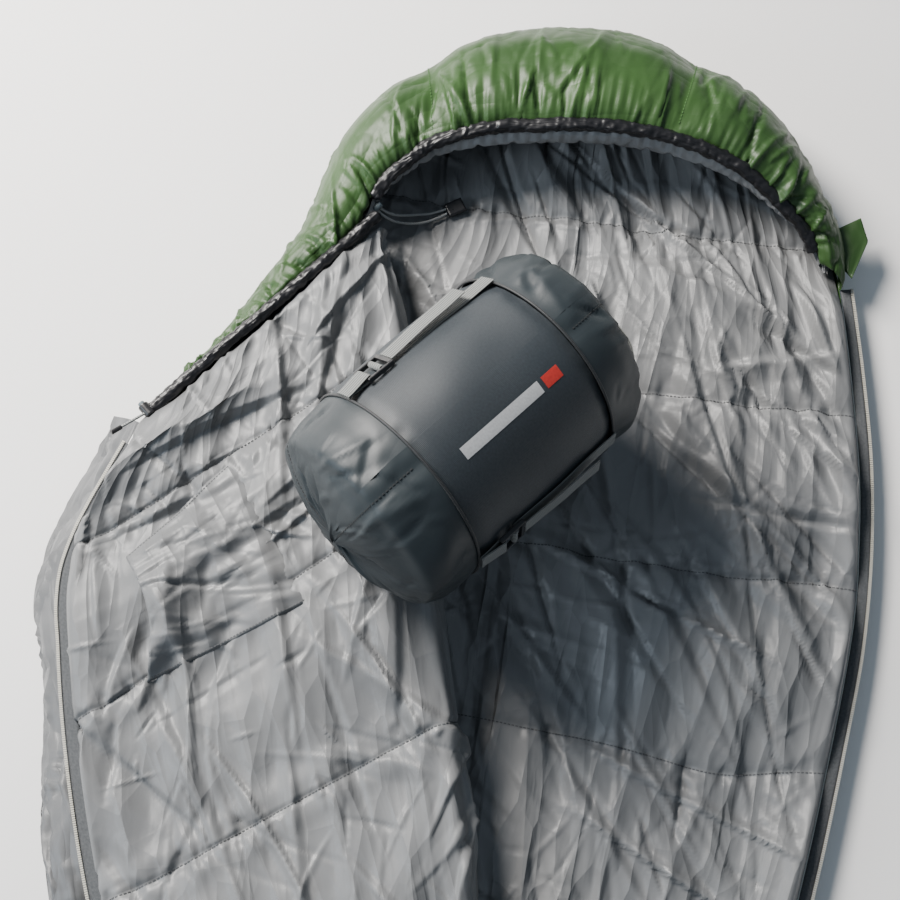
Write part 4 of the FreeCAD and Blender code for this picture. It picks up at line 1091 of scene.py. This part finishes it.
def draft_tube(cloths):
    """The filled strip that lies behind the zip when it is closed."""

    def base(rows, cols):
        edge = along_curve(FREE_EDGE[:8], shares(rows))
        low = np.interp(-edge[:, 1], [-p[0] for p in TUBE_DROP], [p[1] for p in TUBE_DROP])
        turn = turns(cols)
        across = 0.5 - 0.5 * np.cos(turn)
        thick = np.sin(turn) * (np.abs(np.sin(turn)) + 0.25) / 1.25
        wave = 1 + 0.10 * waves(np.arange(rows) / rows * 1.5, 0 * edge[:, 0], 0.09, 19)
        lines = [offset_line(edge, 0.010 + 0.046 * a * wave) for a in across]
        x, y = np.moveaxis(np.stack(lines, 1), -1, 0)
        z = TUBE_TOP + (low[:, None] + 0.004 - TUBE_TOP) * across ** 1.2 + 0.0048 * thick
        hold = np.full((rows, cols), 0.02)
        hold[:, [0, 1, -2, -1]] += 0.5
        hold[0], hold[-1] = 0.9, 0.9
        return in_frame(x, y, np.maximum(z, 0.001)), hold, 0.05, 0.006, 0.01

    grid = softened(settle(base, grid_levels(1.50, 0.13, 0.0046, (300, 200)), 17), 3)
    rows, cols = grid.shape[1:]
    from_rims = 0.15 + 0.85 * np.abs(np.sin(turns(cols)))
    grid += normals(grid) * creased(*square(rows, cols, 1.5, 0.12), TUBE_CREASES) * from_rims
    grid[2] = np.maximum(grid[2], FLOOR_GAP)
    # Its cloth is the darker copy of the grey lining: painted shade.
    sheet_mesh("draft_tube_cloth", grid, cloths["tube"], "bag", ["draft_tube_cover", "draft_tube_down"],
               flip=True)


def height_over(grid, x, y):
    """The height of a settled cloth at some places: the mean of its six nearest points, seen from above."""
    across, along, up = grid.reshape(3, -1)
    near = np.zeros(x.shape)
    for index in np.ndindex(x.shape):
        gap = (across - x[index]) ** 2 + (along - y[index]) ** 2
        near[index] = up[np.argpartition(gap, 6)[:6]].mean()
    return near


POCKET = [(-0.373, -0.696), (-0.285, -0.580), (-0.182, -0.714), (-0.326, -0.816)]


def pocket(cloths, flap):
    """The patch pocket on the flap's lining, open towards the free edge."""
    corner = [np.array(p) + [AXIS_X, CROWN_Y] for p in POCKET]
    s, t = square(58, 56)
    mouth, far = between(corner[0], corner[3], s), between(corner[1], corner[2], s)
    inward = (0.12 * np.sin(math.pi * s) * (1 - t) ** 2)[..., None] * (far - mouth)
    place = between(mouth, far, t) + inward
    ground = height_over(flap, place[..., 0], place[..., 1])
    for _ in range(4):
        ground[1:-1, 1:-1] = (ground[1:-1, 1:-1] + ground[:-2, 1:-1] + ground[2:, 1:-1]
                              + ground[1:-1, :-2] + ground[1:-1, 2:]) / 5
    free = np.clip(np.minimum(np.minimum(s, 1 - s) / 0.10, (1 - t) / 0.12), 0.0, 1.0)
    gape = np.sin(math.pi * s) ** 0.7 * 0.021 * (1 - t) ** 2.2 + 0.0024 * free
    wrinkle = crumples(s * 0.17, t * 0.15, 81, 46, 1.35, 0.35, (0.05, 0.16), (0.005, 0.012), (0.0010, 0.0034))
    wrinkle += 0.0010 * waves(s * 0.17, t * 0.02, 0.008, 83) * (1 - free)
    sewn_in = 0.0016 * smooth_step(t, 0.93, 1.0) + 0.0010 * (1 - smooth_step(s, 0.0, 0.05))
    z = ground + 0.0004 + gape + wrinkle * (0.2 + 0.8 * free) - sewn_in
    grid = np.stack([place[..., 0], place[..., 1], z])
    sheet_mesh("pocket_cloth", grid, cloths["lining"], "bag", ["pocket_panel"],
               thickness=0.0008)
    straight_up = np.tile([0.0, 0.0, 1.0], (grid.shape[2], 1))
    stitches("pocket_stitches", [(grid[:, row].T, straight_up) for row in (1, -2)], cloths["thread"], 0.0036)


def band(inner, outer, height, count=300):
    """A flat strip of tape between two plan lines, as a grid."""
    a, b = (along_curve(line, shares(count))[:, None, :] for line in (inner, outer))
    place = between(a, b, shares(5)[None, :])
    return in_frame(place[..., 0], place[..., 1], np.full(place.shape[:2], height))


def teeth(name, line, height, node_names, cloths, pitch=0.0022):
    """One side of a zip's chain: a row of small moulded teeth along a plan line."""
    here = along_curve(line[::4], shares(int(run_along(line)[-1] / pitch)))
    boxes = []
    for (x, y), (a, b) in zip(here, unit(np.gradient(here, axis=0))):
        boxes.append((in_frame(x, y, height), np.array([a, b, 0]) * pitch * 0.34,
                      np.array([b, -a, 0]) * TOOTH_HALF_WIDTH, np.array([0, 0, TOOTH_HALF_HEIGHT])))
    boxes_mesh(name, boxes, cloths["chain"], "bag", node_names)


TOOTH_HALF_WIDTH, TOOTH_HALF_HEIGHT, TAPE_THICKNESS = 0.0015, 0.0013, 0.0010
FRONT_TAPE_Z, FRONT_TEETH_Z = 0.0895, 0.0905
CLOSED_X, CLOSED_Z = 0.2634, 0.041        # the teeth of the zip's closed stretch


def zips(cloths):
    def tape(name, grid, node_names):
        sheet_mesh(name, grid, cloths["tape"], "bag", node_names, thickness=TAPE_THICKNESS)

    side = RIGHT_LINE[(RIGHT_LINE[:, 1] < ZIP_TOP) & (RIGHT_LINE[:, 1] > ZIP_OPEN_END)][::6]
    grid = band(offset_line(side, -0.0014), offset_line(side, -0.0130), ZIP_HEIGHT)
    tape("zip_tape_back_cloth", grid, ["zip_tape_back"])
    teeth("zip_teeth_back", offset_line(side, -0.0143), ZIP_HEIGHT, ["zip_chain_back"], cloths)

    edge = EDGE_LINE[(EDGE_LINE[:, 1] < -0.577)]
    grid = band(offset_line(edge, -0.004)[::10], offset_line(edge, 0.0105)[::10], FRONT_TAPE_Z)
    tape("zip_tape_front_cloth", grid, ["zip_tape_front"])
    teeth("zip_teeth_front", offset_line(edge, 0.0122)[::3], FRONT_TEETH_Z, ["zip_chain_front"], cloths)

    closed = np.array([(CLOSED_X, y) for y in np.linspace(-1.850, -1.995, 40)])
    teeth("zip_teeth_closed", closed, CLOSED_Z, ["zip_chain_closed"], cloths)
    low = RIGHT_LINE[(RIGHT_LINE[:, 1] < ZIP_OPEN_END) & (RIGHT_LINE[:, 1] > ZIP_END)]
    line = along_curve(offset_line(low, -0.0016), shares(60))
    grid = in_frame(*np.broadcast_arrays(line[:, :1], line[:, 1:], np.linspace(0.030, 0.052, 6)[None, :]))
    tape("zip_tape_closed_cloth", grid, [])


def zip_tab(cloths):
    """The hook-and-loop tab: a small doubled flag of shell cloth, with its patch beneath."""
    base = [np.array(p) for p in ((0.333, -0.208), (0.352, -0.254))]
    tip = [np.array(p) for p in ((0.366, -0.186), (0.376, -0.214), (0.360, -0.262))]
    s, t = square(24, 22)
    far = np.where(s[..., None] < 0.5, between(tip[0], tip[1], 2 * s), between(tip[1], tip[2], 2 * s - 1))
    x, y = np.moveaxis(between(between(base[0], base[1], s), far, t), -1, 0)
    z = 0.0434 + 0.0012 * np.sin(math.pi * s) * np.sin(math.pi * t)
    grid = in_frame(x, y, z + 0.0008 * waves(s * 0.05, t * 0.04, 0.012, 91))
    piece = sheet_mesh("zip_tab_cloth", grid, cloths["shell"], "zip_tab", ["zip_tab"],
                       thickness=0.0016)
    give(cloths["tape"], "zip_tab_hook")


# ---------------------------------------------------------------- cords
HOOD_CORD_UPPER = [(-0.1789, -0.2668, 0.0783), (-0.168, -0.268, 0.067), (-0.152, -0.260, 0.053),
                   (-0.137, -0.252, 0.0435), (-0.121, -0.246, 0.0386), (-0.106, -0.237, 0.038)]
HOOD_CORD_LOWER = [(-0.1815, -0.2694, 0.0767), (-0.171, -0.2735, 0.066), (-0.156, -0.270, 0.053),
                   (-0.139, -0.264, 0.043), (-0.122, -0.255, 0.0385), (-0.107, -0.244, 0.038)]
NECK_CORD = [(-0.37676, -0.53177, 0.0920), (-0.38604, -0.54329, 0.0997), (-0.39531, -0.55480, 0.1074),
             (-0.40459, -0.56632, 0.11507)]
CORD_D = 0.003


def cord_curve(name, points, material):
    data = bpy.data.curves.new(name, "CURVE")
    data.dimensions = "3D"
    data.bevel_depth = CORD_D / 2
    data.bevel_resolution = 5
    data.resolution_u = 16
    data.use_fill_caps = True
    spline = data.splines.new("NURBS")
    spline.points.add(len(points) - 1)
    for point, (x, y, z) in zip(spline.points, points):
        point.co = (x + AXIS_X, y + CROWN_Y, z, 1.0)
    spline.order_u = 3
    spline.use_endpoint_u = True
    data.materials.append(material)
    return new_object(name, data)


def cords(cloths):
    for node, route, length, tip in (("hood_cord_upper", HOOD_CORD_UPPER, 0.0927, "hood_cord_end"),
                                     ("hood_cord_lower", HOOD_CORD_LOWER, 0.0941, "hood_cord_end"),
                                     ("neck_cord", NECK_CORD, 0.050, "neck_cord_end")):
        piece = cord_curve(node + "_strand", route, cloths["cord"])
        belongs(piece, "bag", [node])


# ---------------------------------------------------------------- compression sack
def on_sack(grid, angle=0.0):
    """A grid in the level sack's own frame, turned round its axis and put in its place."""
    matrix = np.array(SACK_MATRIX @ Matrix.Rotation(math.radians(-angle), 4, "X"))
    return np.einsum("ij,jrc->irc", matrix[:3, :3], grid) + matrix[:3, 3][:, None, None]


def ring_grid(x, radius, turn):
    return np.stack([x, radius * np.sin(turn), radius * np.cos(turn)])


def body_radius(t, s):
    """The sack body's radius: t from -1 to 1 along it, and s the angle round it."""
    sag = 0.0024 * waves(np.sin(s) * 0.1, np.cos(s) * 0.1 + t * 0.06, 0.05, 101)
    pulled = 0.0028 * np.exp(-((1 - np.abs(t)) / 0.10) ** 2)
    pucker = 0.0007 * waves(np.sin(s) * 0.106, np.cos(s) * 0.106 + t * 0.05, 0.010, 103)
    pucker *= np.exp(-((1 - np.abs(t)) / 0.12) ** 2)
    return SACK_R + (0.0022 + sag) * (1 - t ** 2) - pulled + pucker


def sack_body(cloths):
    turn = turns(260, endpoint=False)
    t, s = np.meshgrid(np.linspace(-1, 1, 110), turn, indexing="ij")
    grid = on_sack(ring_grid(t * SACK_HALF, body_radius(t, s), s))
    sheet_mesh("sack_body_cloth", grid, cloths["sack"], "compression_sack", ["sack_body", "sack_contents"],
               wrap=True)


CAP_SEAMS = tuple(math.radians(a) for a in (-10.0, 80.0, 200.0))


def sack_cap(name, sign, seed, cloths):
    """A crinkled end of the sack: a short side wall and a crowned end, stuffed unevenly."""
    wall, crown = CAP_WALL, math.hypot(SACK_R, CAP_BULGE)

    def base(rows, cols):
        turn = turns(cols)[None, :]
        s = shares(rows)[:, None] * (wall + crown)
        end = np.clip((s - wall) / crown, 0.0, 0.985)
        rounding = smooth_step(s, wall * 0.45, wall * 1.35)
        radius = SACK_R * (1 - end) + 0.006 * np.sin(math.pi * end) - 0.012 * rounding * (1 - end) ** 3
        x = SACK_HALF + np.minimum(s, wall) * 0.96 + CAP_BULGE * (1 - (1 - end) ** 2) - 0.004 * rounding
        lump = 0.0045 * waves(np.sin(turn) * 0.1, np.cos(turn) * 0.1 + s, 0.055, seed)
        lump = lump * smooth_step(s, 0, 0.03)
        radius = radius + lump * (1 - end)
        x = x + lump * end
        seam = sum(np.exp(-((np.angle(np.exp(1j * (turn - a)))) / 0.05) ** 2) for a in CAP_SEAMS)
        grid = ring_grid(sign * x + 0 * turn, radius - 0.003 * seam * (1 - end), turn)
        hold = 0.02 + 0.2 * seam + 0.9 * (s < 0.002) + 0.9 * (end > 0.97)
        hold[:, 0], hold[:, -1] = 0.6, 0.6
        return grid, hold, 0.020, 0.014, 0.02

    grid = softened(settle_level(base, grid_levels(0.17, 0.66, 0.0034, (240, 160, 90)), seed), 4)
    s, t = square(*grid.shape[1:], 0.17, 0.66)
    height = crumples(s, t, seed + 2, 90, 0.30, 0.45, (0.05, 0.16), (0.006, 0.016), (0.0006, 0.0026))
    grid = on_sack(grid + normals(grid) * sign * height * smooth_step(s, 0.004, 0.02))
    sheet_mesh(name + "_cloth", grid, cloths["sack_end"], "compression_sack", [name],
               flip=sign < 0)
    inward = normals(grid) * sign
    columns = [int(round(a % (2 * math.pi) / (2 * math.pi) * (grid.shape[2] - 1))) for a in CAP_SEAMS]
    lines = [(grid[:, 2:-4, c].T, -inward[:, 2:-4, c].T) for c in columns]
    stitches(name + "_stitches", lines, cloths["dark_thread"], 0.0040, "compression_sack")


def settle_level(base, sizes, seed):
    """Settles a cloth in the sack's level frame, which the floor doesn't reach."""
    lift = np.array([0.0, 0.0, 1.0])[:, None, None]

    def raised(rows, cols):
        grid, *rest = base(rows, cols)
        return (grid + lift, *rest)

    return settle(raised, sizes, seed) - lift


def strip_grid(line, width=WEB_W, thickness=WEB_T, steps=40):
    """Webbing as a closed strip: its rounded section swept along a line in the XZ plane."""
    path = along_curve(line, shares(steps))
    way = unit(np.gradient(path, axis=0))
    up = np.stack([-way[:, 1], way[:, 0]], -1)
    half, thin = width / 2, thickness / 2
    across = np.concatenate([np.linspace(-half, half, 9), np.linspace(half, -half, 9)])
    rise = np.concatenate([np.full(9, thin), np.full(9, -thin)])
    rise[[0, 8, 9, 17]] *= 0.35
    middle = path + up * thin
    x = middle[:, :1] + up[:, :1] * rise[None, :]
    z = middle[:, 1:] + up[:, 1:] * rise[None, :]
    return np.stack([x, np.broadcast_to(across, x.shape), z])


def webbing(name, lines, body, node_name, cloths):
    """One node's lengths of webbing, each a line in the sack's frame with its angle round the sack."""
    for i, (line, angle) in enumerate(lines):
        sheet_mesh(f"{name}_{i}" if i else name, on_sack(strip_grid(line), angle), cloths["webbing"], body,
                   [] if i else [node_name], wrap=True)


def arc_line(x, z, radius, start, end):
    """Part of a circle in the XZ plane, as points; angles in degrees from +X towards +Z."""
    return [(x + radius * math.cos(math.radians(a)), z + radius * math.sin(math.radians(a)))
            for a in np.linspace(start, end, 9)]


def straps(cloths):
    z, pivot = SACK_R + 0.006, LOCK_X - 0.015
    anchors, mains, tails = [], [], []
    for name, angle in STRAP_ANGLES.items():
        loop = ([(-SACK_HALF - 0.001, SACK_R + 0.0029), (-SACK_HALF + 0.006, SACK_R + 0.0030)]
                + arc_line(pivot, z, BAR_R + 0.0004 + WEB_T, -90, 90)
                + [(-SACK_HALF + 0.006, SACK_R + 0.0064), (-SACK_HALF - 0.001, SACK_R + 0.0057)])
        main = [(LOCK_X + dx, z + dz) for dx, dz in ((0.0034, -0.0052), (0.020, -0.0046), (0.062, -0.0030),
                                                     (0.104, -0.0036))]
        tail = [(LOCK_X + dx, z + dz) for dx, dz in ((0.0126, 0.0012), (0.024, 0.0018), (0.060, 0.0044),
                                                     (0.088, 0.0052), (0.108, 0.0065))]
        anchors.append((loop, angle))
        mains.append((main + [(SACK_HALF + 0.001, SACK_R + 0.0030)], angle))
        tails.append((tail, angle))
        turn = arc_line(LOCK_X, z, BAR_R + 0.0003 + WEB_T, 60, 300)
        webbing("ladder_wrap_web_" + name, [(turn, angle)], "ladder_lock_" + name, "ladder_wrap_" + name,
                cloths)
    for kind, lines in (("anchor", anchors), ("main", mains), ("tail", tails)):
        webbing(f"sack_{kind}_web", lines, "compression_sack", f"sack_strap_{kind}s", cloths)


def sack_trim(cloths):
    for i, side in enumerate((-1, 1)):
        turn = turns(180, endpoint=False)
        ring = turns(10, endpoint=False)
        radius = SACK_R + 0.0012 + 0.0013 * np.cos(ring)[None, :] + 0 * turn[:, None]
        x = side * SACK_HALF + 0.0013 * np.sin(ring)[None, :] + 0 * turn[:, None]
        grid = ring_grid(x, radius, turn[:, None])
        grid = np.concatenate([grid, grid[:, :1]], axis=1)
        sheet_mesh(f"sack_piping_{'ab'[i]}", on_sack(grid), cloths["piping"], "compression_sack",
                   ["sack_piping"] if i == 0 else [], wrap=True)
    end = SACK_HALF + CAP_WALL + CAP_BULGE
    loop = [(-0.066, end - 0.0066), (-0.058, end + 0.003), (-0.040, end + 0.0125), (0.0, end + 0.0165),
            (0.040, end + 0.0125), (0.058, end + 0.003), (0.066, end - 0.0066)]
    grid = strip_grid(loop, steps=60)
    grid = np.stack([grid[2], grid[0], grid[1]])
    sheet_mesh("sack_handle_web", on_sack(grid), cloths["webbing"], "compression_sack", ["sack_handle"],
               wrap=True)
    for name, start, long, key in (("sack_mark_pale", -0.058, 0.096, "mark_pale"),
                                   ("sack_mark_red", 0.043, 0.020, "mark_red")):
        t, s = np.meshgrid(np.linspace(start, start + long, 30), np.linspace(-0.006, 0.006, 8),
                           indexing="ij")
        turn = math.radians(20.0) + s / SACK_R
        grid = on_sack(ring_grid(t, body_radius(t / SACK_HALF, -turn) + 0.0003, -turn))
        sheet_mesh(name, grid, cloths[key], "compression_sack", [])


# ---------------------------------------------------------------- everything
def give(material, *names):
    """A better material for CAD nodes whose shape stays."""
    for name in names:
        mesh = NODES[name].data
        mesh.materials.clear()
        mesh.materials.append(material)


def make_cloths():
    black_plastic = moulded("black_acetal", (0.010, 0.010, 0.011), (0.022, 0.022, 0.024), 0.34)
    grey_plastic = moulded("grey_acetal", (0.10, 0.13, 0.145), (0.15, 0.185, 0.20), 0.42)
    give(black_plastic, "hood_cord_end", "neck_lock", "neck_cord_end", "ladder_lock_a", "ladder_lock_b",
         "ladder_lock_c")
    give(grey_plastic, "hood_cord_lock", "hood_lock_button", "neck_lock_button")
    give(brushed("spring_steel", (0.42, 0.42, 0.44), (0.60, 0.60, 0.62), 1.0, 0.35), "hood_lock_spring",
         "neck_lock_spring")
    give(brushed("blackened_zinc", (0.014, 0.014, 0.016), (0.16, 0.15, 0.14), 0.75, 0.38), "zip_slider",
         "zip_pull", "zip_bottom_stop")
    give(webbing_material("black_webbing", (0.008, 0.008, 0.009), (0.028, 0.028, 0.030)), "foot_hang_loops")
    return {
        "lining": nylon("grey_lining", (0.150, 0.154, 0.158), (0.190, 0.193, 0.195), 0.40),
        # The hood's lining is a lighter copy of the grey lining: painted light, standing in for light that
        # reaches into the shaded hollow of the hood.
        "hood_lining": nylon("grey_lining_hood_painted_lighter", (0.200, 0.206, 0.214), (0.250, 0.255, 0.260), 0.46,
                             lean=1.3),
        # The draft tube is a darker copy of the same grey lining: painted shade, for a tube that slopes away
        # from the light.
        "tube": nylon("grey_lining_tube_painted_shade", (0.098, 0.101, 0.105), (0.128, 0.131, 0.134), 0.40, lean=0.2),
        "shell": nylon("green_shell", (0.022, 0.055, 0.013), (0.033, 0.080, 0.019), 0.42, 0.40, 1.4, 0.0),
        "thread": moulded("grey_thread", (0.05, 0.053, 0.056), (0.09, 0.094, 0.098), 0.7),
        "green_thread": moulded("green_thread", (0.030, 0.085, 0.018), (0.05, 0.13, 0.03), 0.7),
        "dark_thread": moulded("dark_thread", (0.012, 0.014, 0.015), (0.03, 0.033, 0.035), 0.7),
        "elastic": elastic_material(),
        "cord": braided("drawcord", (0.16, 0.165, 0.165), (0.42, 0.43, 0.42)),
        "tape": canvas("zip_tape_cloth", (0.050, 0.054, 0.058), (0.085, 0.090, 0.095), 0.75, 1.4),
        "chain": moulded("cream_acetal", (0.42, 0.40, 0.34), (0.55, 0.53, 0.46), 0.4),
        "webbing": webbing_material("grey_webbing", (0.045, 0.049, 0.048), (0.205, 0.213, 0.205)),
        "sack": canvas("sack_polyester", (0.012, 0.017, 0.022), (0.020, 0.027, 0.033), 0.50),
        "sack_end": nylon("sack_end_polyester", (0.015, 0.021, 0.025), (0.024, 0.032, 0.036), 0.46, 0.16,
                          0.3),
        "piping": canvas("sack_piping_cloth", (0.006, 0.007, 0.008), (0.016, 0.018, 0.020), 0.5),
        "mark_pale": canvas("print_pale", (0.34, 0.35, 0.36), (0.42, 0.43, 0.44), 0.5),
        "mark_red": canvas("print_red", (0.36, 0.014, 0.010), (0.44, 0.024, 0.016), 0.5),
    }


def main():
    make_camera()
    cloths = make_cloths()
    cords(cloths)
    make_stage()
    back_panel(cloths)
    flap = front_panel(cloths)
    hood(cloths)
    casings(cloths)
    draft_tube(cloths)
    pocket(cloths, flap)
    zips(cloths)
    zip_tab(cloths)
    sack_body(cloths)
    sack_cap("sack_cap_lower", -1, 111, cloths)
    sack_cap("sack_cap_upper", 1, 121, cloths)
    straps(cloths)
    sack_trim(cloths)


main()
